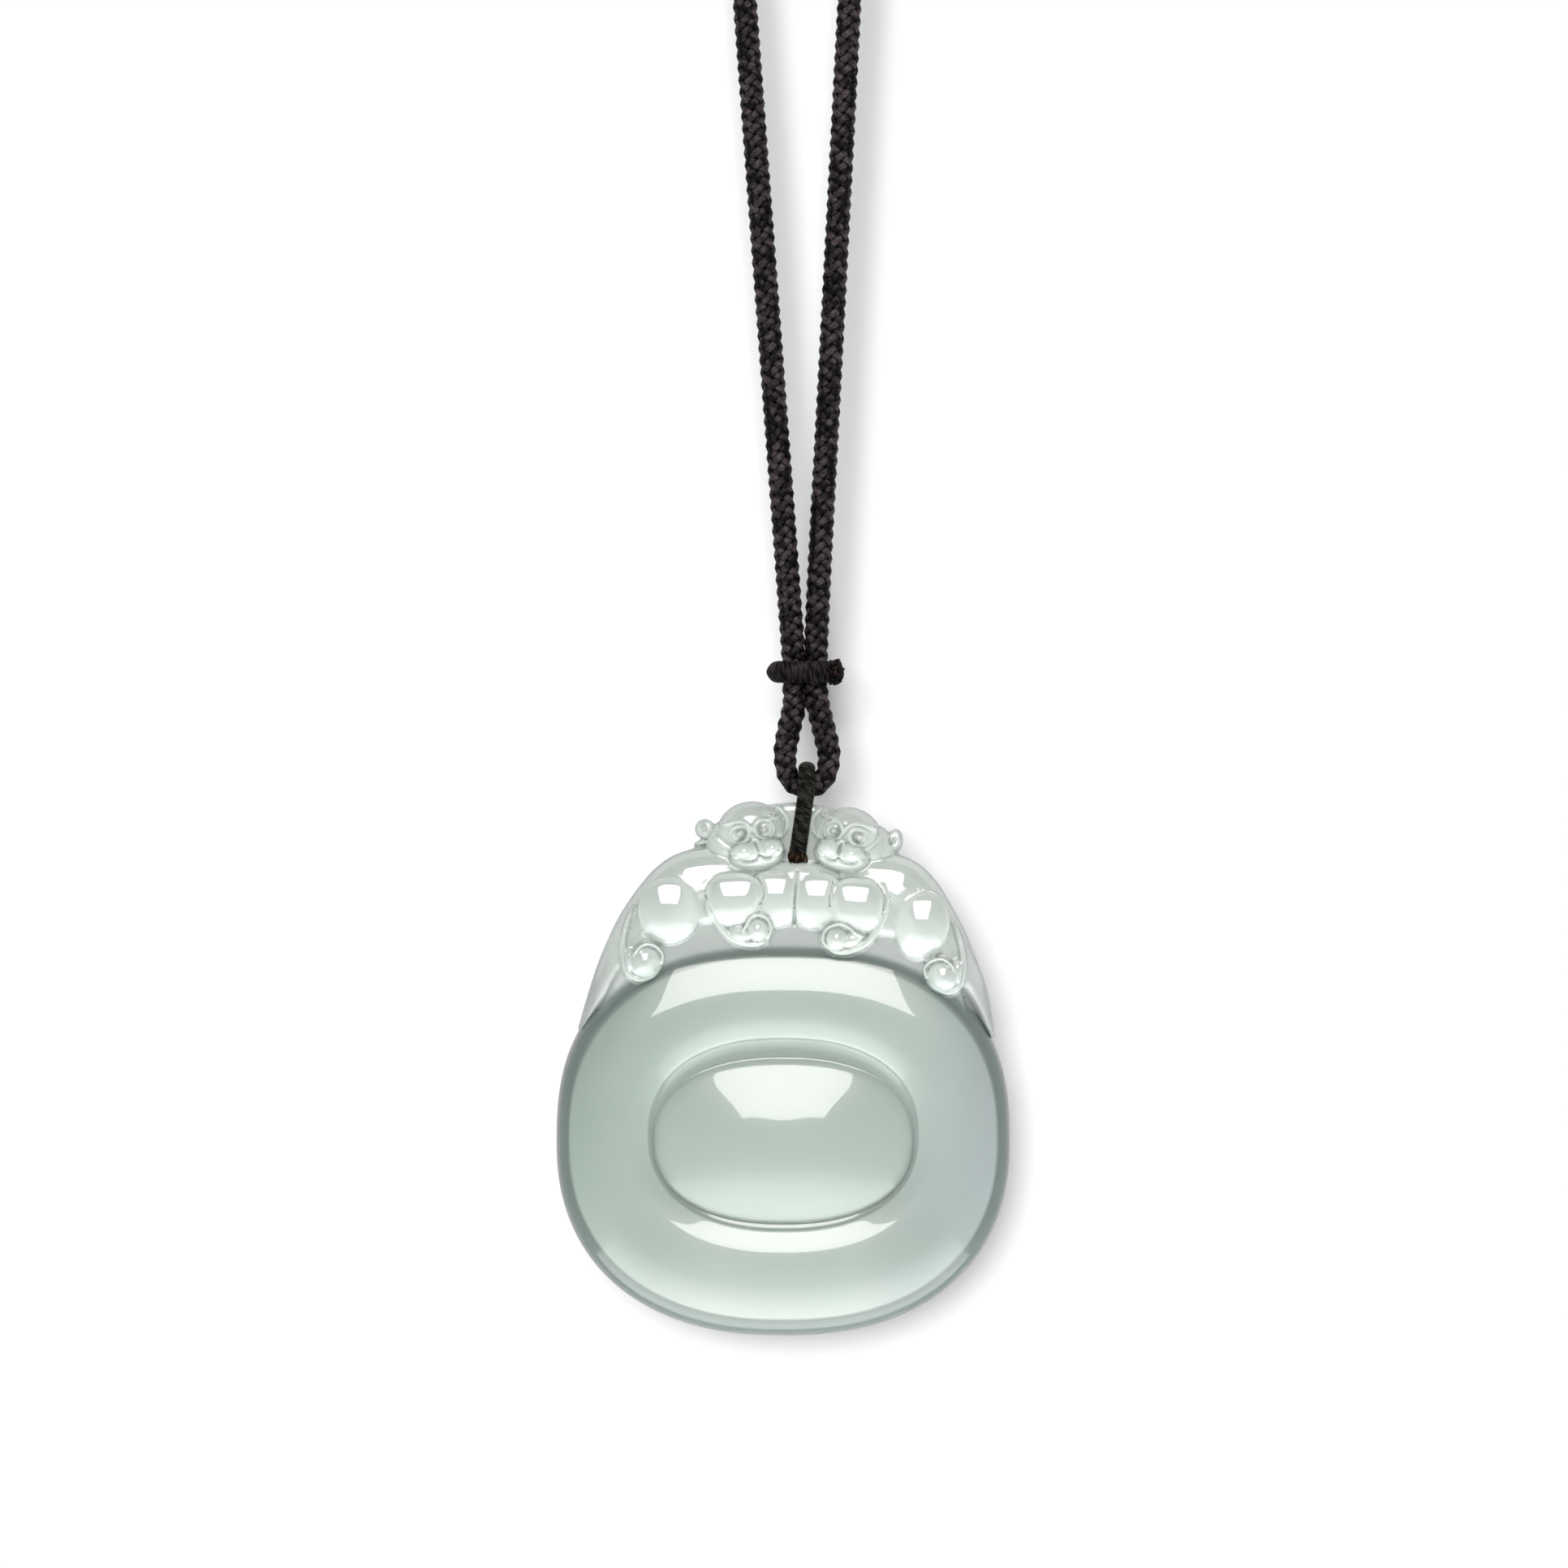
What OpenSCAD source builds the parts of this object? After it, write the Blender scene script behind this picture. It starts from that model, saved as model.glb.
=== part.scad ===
// Jade pendant necklace. A carved jade pendant hangs by a thread wound bail from
// a braided neck cord, and a wound keeper holds the cord's two strands together.
// The origin is the inner top of the cord's loop, where the necklace hangs.
// X is to the right, Z is up, and the carved front of the pendant faces -Y.

/* [Neck cord] */
// Diameter of the braided cord
cord_d = 2.3; // [2.1:0.05:2.35]
// Outer diameter of the wound sleeve that joins the cord's ends at the nape
join_d = 3.6; // [3.2:0.1:4.2]
// Angle of the loop's top arc that the sleeve covers
join_angle = 70; // [50:1:90]

/* [Keeper] */
// Height of the wound ring across the two strands
keeper_h = 2.3; // [1.8:0.1:2.6]
// Thickness of the ring's wound bundle
keeper_t = 1.3; // [1.0:0.05:1.4]

/* [Bail] */
// Width of the wound bail, seen from the front
bail_w = 1.8; // [1.5:0.05:1.85]
// Thickness of the wound bail, seen from the side
bail_t = 1.4; // [1.0:0.05:1.4]

/* [Jade] */
// Width of the pendant over its oval ring
jade_w = 46.9; // [46:0.1:47.4]
// Diameter of the hole that the bail runs through
hole_d = 2.2; // [2.1:0.05:2.4]

/* [Hidden] */

// Running gap between a cord and what is wound round it
gap = 0.1;
cord_r = cord_d / 2;

// The loop's top arc, which the join follows
arc_r = 17;
arc_z = join_d / 2 - arc_r;

// Route of the neck cord's middle as [x, z], the whole way round from the top
ROUTE = [
    [0, 1.8], [6.5, 0.5], [12, -3.2], [15.7, -8.7], [17, -15.2],
    [16.2, -32], [11.8, -120], [7.6, -204], [4.5, -266], [4.2, -272],
    [4.2, -274.4], [4.5, -276.8], [5, -279.2], [5.4, -282.4], [4.8, -284.5],
    [3.2, -285.2],
    [1.6, -284.5], [1, -282.4], [1.3, -279.2], [1.8, -276.8], [1.8, -274.4],
    [1.8, -272], [1.4, -266], [-3.2, -204], [-9.4, -120], [-15.8, -32],
    [-17, -15.2], [-15.7, -8.7], [-12, -3.2], [-6.5, 0.5]
];
// Longest step between two rings of the cord's tube
ring_step = 14;
cord_sides = 8;

// The middle of the cord's lowest bend, which the bail hangs from and swings on
HINGE = [3.2, 0, -285.2];
// The middle of the keeper, and of the two strands inside it
KEEPER = [3, 0, -273.2];
strand_apart = 2.4;

// Half of the bail's route as [y, z] from the hinge, from its top to its bottom
BAIL_HALF = [
    [0, 2.05], [1.45, 1.45], [2.1, 0], [2.5, -1.7], [2.7, -3.6], [2.75, -5.3],
    [2.4, -6.5], [1.5, -6.9], [0, -6.9]
];
// Sideways lean of the bail below the hinge
bail_lean = 0.14;

// The hole's middle and the middle of the pendant's oval, from the hinge
HOLE = [-0.98, 0, -6.95];
OVAL = [-2.44, 0, -35.95];
jade_scale = jade_w / 46.9;

// Depths are in mm from the plane of the hinge, and those of the front are negative.
// The jade's back is plain: low behind the oval and high behind the heads
back_low = 3.6;
back_high = 1.6;

// The ring and the dome in it, from the dome's middle out over the ring's crest and
// round the rim to the back. An oval's upper half is squarer where its power is higher:
// [half width, half height, middle z, depth, power of the upper half]
OVAL_ROWS = [
    [4, 2.6, -0.6, -4.85, 2.3], [8, 5.1, -0.6, -4.6, 2.3], [11.2, 7.1, -0.6, -4, 2.3],
    [12.9, 8.2, -0.6, -3.2, 2.3], [13.4, 8.6, -0.6, -2.4, 2.3],
    [13.5, 9.1, -0.1, -2.1, 2.3], [13.6, 9.6, 0.2, -2.9, 2.3],
    [14.4, 10.4, 0.1, -3.6, 2.3], [16.4, 12.4, -0.1, -4.35, 2.3],
    [18.6, 14.6, -0.3, -4.5, 2.4], [20.7, 16.9, -0.6, -4.1, 2.5],
    [22.3, 18.7, -0.8, -3.1, 2.6], [23.2, 19.6, -0.8, -1.7, 2.6],
    [23.45, 19.9, -0.8, 0, 2.6], [23.1, 19.5, -0.8, 1.8, 2.6],
    [21.8, 18.2, -0.8, 3, 2.6], [19.5, 16, -0.8, 3.5, 2.6]
];
dome_top = -4.95;
// Power of every oval's lower half
lower_power = 2.3;
oval_steps = 64;

// Outline of the slab behind the two monkeys: [x, z] from the oval's middle
SLAB = [
    [-16, 6], [16, 6], [20.3, 12.5], [20.5, 14.5], [20, 17.1],
    [18.6, 20.3], [17.2, 23.4], [16, 25.5], [14.4, 27.4], [12.1, 29],
    [9.6, 31.4], [7.4, 33.3], [4, 34], [2.6, 34.4], [0.8, 34.45],
    [-0.7, 34.3], [-3.2, 33.9], [-6.2, 32.2], [-8, 30.3], [-10.8, 29.3],
    [-13.5, 27.5], [-15.4, 25.2], [-16.8, 22.7], [-17.4, 20.2], [-18.7, 17.6],
    [-19.6, 14.8], [-19.6, 13]
];
slab_middle = [0, 20];
slab_front = -1.4;
// The slab's rounded edge: [size against the outline, share of the way to the back]
SLAB_ROWS = [[0.965, 0], [1, 0.22], [1, 0.75], [0.96, 1]];

// Rounded forms as [x, z, half width, half height, clockwise tilt, front, back]
BODY_FORMS = [
    [-11.7, 23.1, 3.4, 3.8, -12, -4.8, -1],  // left haunch
    [-5, 24.4, 3.3, 3.6, -5, -4.7, -1],      // left shoulder
    [-0.6, 25.2, 2.2, 3.2, 0, -4.1, -0.5],   // left chest beside the seam
    [14.3, 22.5, 3, 3.7, 14, -4.8, -1],      // right haunch
    [7.5, 23.8, 3.3, 3.7, 8, -4.7, -1],      // right shoulder
    [3, 24.9, 2.2, 3.2, 0, -4.1, -0.5],      // right chest beside the seam
    [-2.35, 21.6, 1.1, 1.2, 0, -4.6, 1],     // left hand
    [5.5, 20.3, 1.4, 1.4, 0, -4.6, 1],       // right hand
    [-13.9, 18.1, 1.5, 1.6, 0, -4.7, 1],     // left foot
    [16.6, 16.4, 1.7, 1.6, 0, -4.7, 1]       // right foot
];
HEAD_FORMS = [
    [-3.4, 31.6, 3.45, 2.95, -10, -4, 1.5],  // left skull
    [-2.7, 29.2, 2.95, 1.75, -10, -4.8, 0],  // left muzzle
    [-4.1, 29.5, 1.35, 1.1, -10, -5.2, -1],  // left cheek
    [-1.5, 29.8, 1.3, 1.15, -10, -5.2, -1],  // left inner cheek
    [-3.05, 30.7, 0.5, 0.4, -10, -4.9, -1],  // left nose
    [-4.5, 31.2, 0.85, 0.75, -10, -4.3, -1], // left eyelid
    [-1.9, 31.7, 0.85, 0.75, -10, -4.3, -1], // left inner eyelid
    [-4.5, 31.2, 0.35, 0.35, 0, -4.6, -1],   // left eye
    [-1.9, 31.7, 0.35, 0.35, 0, -4.6, -1],   // left inner eye
    [-5.7, 30.2, 2.3, 2.7, 20, -2.9, 1.3],   // left whiskers
    [-8.05, 31.7, 1.1, 1.1, 0, -1.9, 0.9],   // left ear
    [-8.6, 30.3, 0.9, 0.4, -15, -1.5, 0.9],  // left ear's lower lobe
    [6.8, 31, 3.4, 2.95, 13, -4, 1.5],       // right skull
    [6, 29.1, 2.95, 1.75, 13, -4.8, 0],      // right muzzle
    [4.9, 29.6, 1.3, 1.15, 13, -5.2, -1],    // right inner cheek
    [7.2, 29.1, 1.35, 1.1, 13, -5.2, -1],    // right cheek
    [6.15, 30.5, 0.5, 0.4, 13, -4.9, -1],    // right nose
    [5.1, 31.5, 0.85, 0.75, 13, -4.3, -1],   // right inner eyelid
    [7.8, 30.9, 0.85, 0.75, 13, -4.3, -1],   // right eyelid
    [5.1, 31.5, 0.35, 0.35, 0, -4.6, -1],    // right inner eye
    [7.8, 30.9, 0.35, 0.35, 0, -4.6, -1],    // right eye
    [9.3, 29.6, 2.3, 2.7, -20, -2.9, 1.3],   // right whiskers
    [11.5, 30.4, 1, 1.35, 10, -1.9, 0.9],    // right ear
    [11.4, 28.9, 0.9, 0.4, 15, -1.5, 0.9]    // right ear's lower lobe
];

// Rolls and bands that run through balls: [x, z, radius, front] and one back
ROLL_BACK = 2;
LEFT_BACK = [
    [0, 25.3, 3.9, -3.4], [-5, 25.7, 4.3, -3.7], [-10.8, 24.9, 4.5, -3.7],
    [-14.2, 22, 3.7, -3.6], [-16.2, 19.8, 2.1, -3]
];
RIGHT_BACK = [
    [2.6, 25.2, 3.9, -3.4], [7.5, 25.2, 4.3, -3.7], [11, 24.6, 4.5, -3.7],
    [14.3, 22.3, 3.8, -3.6], [17.1, 20.2, 2.2, -3]
];
WING_BACK = 1.8;
LEFT_WING = [
    [-16.8, 19.2, 1.5, -2.8], [-18.1, 17.3, 1.3, -2.6], [-19.8, 14.1, 0.9, -2.4],
    [-21.1, 11.2, 0.3, -2]
];
RIGHT_WING = [
    [18.4, 19.2, 1.6, -2.8], [19.8, 16, 1.2, -2.6], [20.9, 13, 0.8, -2.4],
    [21.8, 10.2, 0.3, -2]
];
BAND_BACK = 0.5;
LEFT_ARM = [
    [-8, 24.8, 0.4, -4.1], [-6.6, 22.3, 0.55, -4.3], [-4.5, 20, 0.65, -4.4],
    [-3.2, 19.7, 0.65, -4.4], [-1.7, 20.5, 0.6, -4.5], [-1.4, 22.1, 0.5, -4.6],
    [-2.6, 23, 0.5, -4.7], [-3.6, 22.6, 0.4, -4.7]
];
RIGHT_ARM = [
    [11, 24.6, 0.4, -4.1], [10.3, 22, 0.55, -4.3], [8.2, 19.3, 0.65, -4.4],
    [6.5, 18.8, 0.65, -4.4], [4.7, 19.4, 0.6, -4.5], [4.2, 21.2, 0.5, -4.6],
    [5.5, 21.9, 0.5, -4.7], [6.8, 21.2, 0.4, -4.7]
];
LEFT_LEG = [
    [-15.5, 23.7, 0.4, -3.8], [-16.8, 21, 0.55, -3.8], [-16.8, 17, 0.65, -4],
    [-15.6, 16, 0.65, -4.2], [-13.4, 16.7, 0.65, -4.4], [-12.3, 18.4, 0.6, -4.6],
    [-13.2, 19.8, 0.5, -4.8]
];
RIGHT_LEG = [
    [17.5, 22, 0.4, -3.8], [18.8, 18, 0.55, -3.8], [18.6, 15, 0.65, -4],
    [17.2, 14.5, 0.65, -4.2], [15, 15.6, 0.65, -4.4], [14.5, 17.2, 0.6, -4.6],
    [16.2, 18.2, 0.5, -4.8]
];
// The thin ridges over the eyes, which end in a curl at the temple
BROW_BACK = -2;
LEFT_BROW = [
    [-6, 32.6, 0.4, -3.6], [-4.6, 32.3, 0.3, -4.1], [-3.4, 31.5, 0.3, -4.3],
    [-2.3, 32.7, 0.3, -4.2], [-1.2, 33.1, 0.35, -3.8]
];
RIGHT_BROW = [
    [4.5, 33, 0.35, -3.8], [5.6, 32.4, 0.3, -4.2], [6.4, 31.3, 0.3, -4.3],
    [8, 31.9, 0.3, -4.1], [9.5, 31.7, 0.4, -3.6]
];

// Sides of the rounded forms, fewer on the small ones
form_sides = 22;
small_sides = 12;
band_sides = 8;
bail_sides = 10;

cord_colour = "#2a2527";
thread_colour = "#20221d";
jade_colour = "#bccfc4";

// Swept tubes

function unit(v) = v / norm(v);

// Neighbours of a point of a closed route
function before(route, i) = route[(i + len(route) - 1) % len(route)];
function after(route, i) = route[(i + 1) % len(route)];

// Direction of a closed route at one of its points, half way between its two legs
function heading(route, i) =
    unit(unit(after(route, i) - route[i]) + unit(route[i] - before(route, i)));

// A point part of the way along a leg that leaves and arrives in given directions
function along(a, b, leave, arrive, t) =
    let (reach = norm(b - a))
    a * (2 * t * t * t - 3 * t * t + 1) + b * (3 * t * t - 2 * t * t * t)
    + leave * reach * (t * t * t - 2 * t * t + t) + arrive * reach * (t * t * t - t * t);

// A closed route with more points, so that its legs are curved
function smoothed(route, step, least) = [
    for (i = [0 : len(route) - 1])
        let (next = after(route, i))
        let (count = max(least, ceil(norm(next - route[i]) / step)))
        for (k = [0 : count - 1])
            along(route[i], next, heading(route, i), heading(route, (i + 1) % len(route)),
                k / count)
];

// One ring of a tube: an ellipse across the route, wide along the side direction
function ring(middle, forward, side, half_side, half_out, sides) =
    let (out = unit(cross(forward, side)))
    [for (k = [0 : sides - 1])
        let (turn = 360 * (k + 0.5) / sides)
        middle + side * half_side * cos(turn) + out * half_out * sin(turn)];

module tube(route, side, half_side, half_out, sides) {
    rings = len(route);
    points = [for (i = [0 : rings - 1])
        each ring(route[i], heading(route, i), side, half_side, half_out, sides)];
    faces = [for (i = [0 : rings - 1]) for (k = [0 : sides - 1])
        let (j = (i + 1) % rings)
        let (m = (k + 1) % sides)
        [i * sides + k, j * sides + k, j * sides + m, i * sides + m]];
    polyhedron(points, faces, convexity = 10);
}

module neck_cord() {
    route = smoothed([for (p = ROUTE) [p[0], 0, p[1]]], ring_step, 2);
    color(cord_colour)
        tube(route, [0, 1, 0], cord_r, cord_r, cord_sides);
}

module cord_join() {
    color(thread_colour)
        translate([0, 0, arc_z])
        rotate([90, 0, 0])
        rotate([0, 0, 90 - join_angle / 2])
        rotate_extrude(angle = join_angle, $fn = 96)
        translate([arc_r, 0])
        difference() {
            circle(d = join_d, $fn = 32);
            circle(r = cord_r + gap, $fn = 32);
        }
}

// A flat ring round both strands, and the cut ends of its cord at the right
module keeper() {
    half_run = strand_apart / 2;
    turn_r = cord_r + gap + keeper_t / 2;
    end_steps = 8;
    route = [for (side = [1, -1]) for (k = [0 : end_steps])
        let (turn = 90 - 180 * k / end_steps)
        KEEPER + side * [half_run + turn_r * cos(turn), turn_r * sin(turn), 0]];
    end_d = 0.8;
    end_out = 1.1;
    end_level = 0.45;
    end_stagger = 0.25;
    color(thread_colour) {
        tube(route, [0, 0, 1], keeper_h / 2, keeper_t / 2, bail_sides);
        for (up = [-1, 1])
            translate(KEEPER + [half_run + turn_r, -end_stagger * up, end_level * up])
            rotate([0, 90, 0])
            cylinder(d = end_d, h = end_out + end_stagger * up, $fn = 16);
    }
}

module bail() {
    half = len(BAIL_HALF);
    front = [for (i = [0 : half - 1]) [-BAIL_HALF[i][0], BAIL_HALF[i][1]]];
    back = [for (i = [half - 2 : -1 : 1]) BAIL_HALF[i]];
    loop = [for (p = concat(front, back))
        HINGE + [bail_lean * min(p[1], 0), p[0], p[1]]];
    color(thread_colour)
        tube(smoothed(loop, 1, 2), [1, 0, 0], bail_w / 2, bail_t / 2, bail_sides);
}

// Jade

function sgn_power(v, p) = sign(v) * pow(abs(v), p);

function oval_ring(row) = [for (k = [0 : oval_steps - 1])
    let (turn = 360 * k / oval_steps)
    let (power = sin(turn) > 0 ? row[4] : lower_power)
    [row[0] * sgn_power(cos(turn), 2 / power), row[3],
     row[2] + row[1] * sgn_power(sin(turn), 2 / power)]];

// A closed body through rings of equal count, from a front point to a back point
module shell(rings, front_point, back_point) {
    count = len(rings[0]);
    last = len(rings) - 1;
    points = concat([for (r = rings) each r], [front_point, back_point]);
    front_tip = len(points) - 2;
    back_tip = len(points) - 1;
    faces = concat(
        [for (k = [0 : count - 1]) [front_tip, (k + 1) % count, k]],
        [for (i = [0 : last - 1]) for (k = [0 : count - 1])
            let (m = (k + 1) % count)
            each [[i * count + k, i * count + m, (i + 1) * count + m],
                [i * count + k, (i + 1) * count + m, (i + 1) * count + k]]],
        [for (k = [0 : count - 1]) [back_tip, last * count + k, last * count + (k + 1) % count]]);
    polyhedron(points, faces, convexity = 6);
}

module oval_disc() {
    shell([for (row = OVAL_ROWS) oval_ring(row)],
        [0, dome_top, OVAL_ROWS[0][2]], [0, back_low, OVAL_ROWS[0][2]]);
}

// The back leans forward above the oval, so that the head end is thinner
function back_at(z) =
    let (low_z = 14, high_z = 31)
    let (share = max(0, min(1, (z - low_z) / (high_z - low_z))))
    back_low + (back_high - back_low) * share;

module slab() {
    rings = [for (row = SLAB_ROWS) [for (p = SLAB)
        let (at = slab_middle + (p - slab_middle) * row[0])
        [at[0], slab_front + (back_at(at[1]) - slab_front) * row[1], at[1]]]];
    shell(rings, [slab_middle[0], slab_front, slab_middle[1]],
        [slab_middle[0], back_at(slab_middle[1]), slab_middle[1]]);
}

module form(row) {
    translate([row[0], (row[5] + row[6]) / 2, row[1]])
        rotate([0, row[4], 0])
        scale([row[2], (row[6] - row[5]) / 2, row[3]])
        sphere(1, $fn = row[2] > 1.2 ? form_sides : small_sides);
}

// Balls along a table of rows, each pair joined by a hull
module run(rows, back, sides) {
    for (i = [0 : len(rows) - 2])
        hull()
            for (row = [rows[i], rows[i + 1]])
                translate([row[0], (row[3] + back) / 2, row[1]])
                scale([row[2], (back - row[3]) / 2, row[2]])
                sphere(1, $fn = sides);
}

module carving() {
    oval_disc();
    slab();
    for (row = BODY_FORMS) form(row);
    for (row = HEAD_FORMS) form(row);
    run(LEFT_BACK, ROLL_BACK, form_sides);
    run(RIGHT_BACK, ROLL_BACK, form_sides);
    run(LEFT_WING, WING_BACK, small_sides);
    run(RIGHT_WING, WING_BACK, small_sides);
    for (rows = [LEFT_ARM, RIGHT_ARM, LEFT_LEG, RIGHT_LEG]) run(rows, BAND_BACK, band_sides);
    for (rows = [LEFT_BROW, RIGHT_BROW]) run(rows, BROW_BACK, band_sides);
}

module jade_pendant() {
    reach = 20;
    color(jade_colour)
        difference() {
            translate(HINGE + HOLE)
                scale(jade_scale)
                translate(OVAL - HOLE)
                carving();
            translate(HINGE + HOLE)
                rotate([90, 0, 0])
                cylinder(d = hole_d, h = reach, center = true, $fn = 32);
        }
}

neck_cord();
cord_join();
keeper();
bail();
jade_pendant();
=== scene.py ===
# %% [markdown]
# # A jade pendant on a braided cord
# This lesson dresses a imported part. The frame holds five plain solids: the neck cord,
# the sleeve that joins its ends, the keeper, the bail and the jade. Each is replaced by
# a detailed piece in the same place. Tables are in millimetres, and MM turns them into
# Blender's metres.

import math

import bmesh
import bpy
import numpy as np
from mathutils import Matrix, Vector


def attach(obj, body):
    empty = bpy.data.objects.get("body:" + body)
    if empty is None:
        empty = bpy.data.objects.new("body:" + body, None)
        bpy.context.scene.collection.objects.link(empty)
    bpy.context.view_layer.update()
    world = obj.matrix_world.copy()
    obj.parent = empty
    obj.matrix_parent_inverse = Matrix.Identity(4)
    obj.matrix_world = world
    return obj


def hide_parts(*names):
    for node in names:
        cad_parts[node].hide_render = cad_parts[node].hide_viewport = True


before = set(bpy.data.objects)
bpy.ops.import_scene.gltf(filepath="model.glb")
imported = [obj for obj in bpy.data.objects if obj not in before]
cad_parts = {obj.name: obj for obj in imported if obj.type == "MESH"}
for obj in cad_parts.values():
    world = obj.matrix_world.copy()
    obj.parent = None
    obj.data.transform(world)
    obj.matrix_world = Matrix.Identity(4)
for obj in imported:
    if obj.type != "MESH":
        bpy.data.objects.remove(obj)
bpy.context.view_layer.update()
MM = 0.001

# %% [markdown]
# ## Camera
# The necklace is seen straight on, from far away, as a jeweller's picture is taken. A long
# lens keeps the two strands and the pendant free of perspective. The lens and the sensor
# give the distance at which the view has the wanted width.

# %% Camera
VIEW_MIDDLE = Vector((0.84, 0, -284.8)) * MM
VIEW_WIDTH = 162.3 * MM
LENS = 400
SENSOR = 36

away = VIEW_WIDTH * LENS / SENSOR
bpy.ops.object.camera_add(location=VIEW_MIDDLE - Vector((0, away, 0)),
                          rotation=(math.radians(90), 0, 0))
camera = bpy.context.object
camera.name = "camera"
camera.data.lens = LENS
camera.data.sensor_width = SENSOR
bpy.context.scene.camera = camera
print("camera is", round(away, 2), "m away")

# %% [markdown]
# ## A smooth route for a cord
# A cord is drawn as a few round-number points of its middle line. Between two of them the
# line is a cubic curve that leaves and arrives along the route's own headings, so that no
# corner shows. The curve is then cut into steps of equal length, which keeps the braid
# even all the way round.

# %% Routes
def unit(v):
    """Vectors made one long."""
    return v / np.linalg.norm(v, axis=-1, keepdims=True)


def smooth_route(points, samples=40):
    """A closed line through the points, as many small steps."""
    points = np.array(points, float)
    after = np.roll(points, -1, axis=0)
    before = np.roll(points, 1, axis=0)
    heading = unit(unit(after - points) + unit(points - before))
    reach = np.linalg.norm(after - points, axis=1, keepdims=True)
    leave, arrive = heading * reach, np.roll(heading, -1, axis=0) * reach
    t = (np.arange(samples) / samples)[None, :, None]
    line = (points[:, None] * (2 * t**3 - 3 * t**2 + 1) + after[:, None] * (3 * t**2 - 2 * t**3)
            + leave[:, None] * (t**3 - 2 * t**2 + t) + arrive[:, None] * (t**3 - t**2))
    return line.reshape(-1, 3)


def even_steps(line, count):
    """The closed line again, with that many steps of equal length, and its length."""
    closed = np.vstack([line, line[:1]])
    walked = np.concatenate([[0], np.cumsum(np.linalg.norm(np.diff(closed, axis=0), axis=1))])
    at = np.linspace(0, walked[-1], count, endpoint=False)
    return np.stack([np.interp(at, walked, closed[:, k]) for k in range(3)], 1), walked[-1]


circle = [(math.cos(a), 0, math.sin(a)) for a in np.radians(range(0, 360, 30))]
measured = even_steps(smooth_route(circle), 100)[1]
print("a circle through 12 points measures", round(measured, 3), "and a true one",
      round(2 * math.pi, 3))

# %% [markdown]
# ## Threads round a line
# Every cord here is made of threads that wind round a middle line. A thread is a thin
# tube: a ring of points is set across its own direction at each step, and rings are
# joined by four-sided faces. The UV map runs along the thread and round it, so that
# fibres can follow the thread later. Each thread's map starts further on than the last
# one's, so that no two threads have the same streaks.

# %% Threads
UV_SHIFT = 37.3


def thread_rings(middle, outward, wide, thick, sides):
    """Rings of points round a thread's line: wide along the surface, thick outward."""
    along = unit(np.gradient(middle, axis=0))
    across = unit(np.cross(along, outward))
    lift = unit(np.cross(across, along))
    turn = 2 * np.pi * np.arange(sides) / sides
    return (middle[:, None] + wide * np.cos(turn)[None, :, None] * across[:, None]
            + thick * np.sin(turn)[None, :, None] * lift[:, None])


def tube_grid(steps, sides, closed):
    """A tube's step and side numbers, and the faces between its rings of points."""
    i = np.arange(steps if closed else steps - 1)[:, None]
    k = np.arange(sides)[None, :]
    j, m = (i + 1) % steps, (k + 1) % sides
    quads = np.stack([i * sides + k, i * sides + m, j * sides + m, j * sides + k], -1)
    return i, k, quads.reshape(-1, 4)


print("a tube of 5 rings of 6 points has", len(tube_grid(5, 6, False)[2]), "faces")

# %% [markdown]
# ## From rings to a mesh
# A mesh is a list of points and a list of faces that count them. An open thread gets a
# face at each end, so that it is a closed solid. The order of a face's points says which
# way it looks, and one operator turns all of them outwards at the end.

# %% Thread meshes
def add_mesh(name, points, faces):
    """A new piece from its points and faces."""
    mesh = bpy.data.meshes.new(name)
    mesh.from_pydata(points, [], faces)
    piece = bpy.data.objects.new(name, mesh)
    bpy.context.scene.collection.objects.link(piece)
    return piece


def fix_outward(piece):
    """Turns all faces outwards."""
    work = bmesh.new()
    work.from_mesh(piece.data)
    bmesh.ops.recalc_face_normals(work, faces=work.faces)
    work.to_mesh(piece.data)
    work.free()


def triangles(piece):
    """How many triangles a piece's faces make."""
    return sum(len(face.vertices) - 2 for face in piece.data.polygons)


def threads_mesh(name, threads, closed):
    """One mesh of many threads, each a block of rings of points."""
    points, faces, uvs, start = [], [], [], 0
    for number, rings in enumerate(threads):
        steps, sides = rings.shape[:2]
        i, k, quads = tube_grid(steps, sides, closed)
        faces += (quads + start).tolist()
        length = np.linalg.norm(np.diff(rings[:, 0], axis=0), axis=1).mean() / MM
        shift = UV_SHIFT * number
        u0, v0 = np.broadcast_arrays(i * length + shift, k / sides)
        u1, v1 = np.broadcast_arrays((i + 1) * length + shift, (k + 1) / sides)
        corner = [np.stack(c, -1) for c in [(u0, v0), (u0, v1), (u1, v1), (u1, v0)]]
        uvs.append(np.stack(corner, 2).reshape(-1, 2))
        if not closed:
            end = start + (steps - 1) * sides
            faces += [list(range(start, start + sides))[::-1], list(range(end, end + sides))]
            uvs.append(np.zeros((2 * sides, 2)))
        points.append(rings.reshape(-1, 3))
        start += steps * sides
    piece = add_mesh(name, np.vstack(points), faces)
    uv_map = piece.data.uv_layers.new(name="thread")
    uv_map.data.foreach_set("uv", np.vstack(uvs).ravel())
    piece.data.shade_smooth()
    fix_outward(piece)
    print(name, "has", triangles(piece), "triangles")
    return piece


# %% [markdown]
# ## The braided neck cord
# The real cord is one loop, from the nape down both strands and round the lowest bend,
# where the pendant hangs. Its middle line is a table of points x and z, clockwise from
# the nape. The plait has to close on itself, so the cord's length is divided into a
# whole number of the plait's turns.

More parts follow.
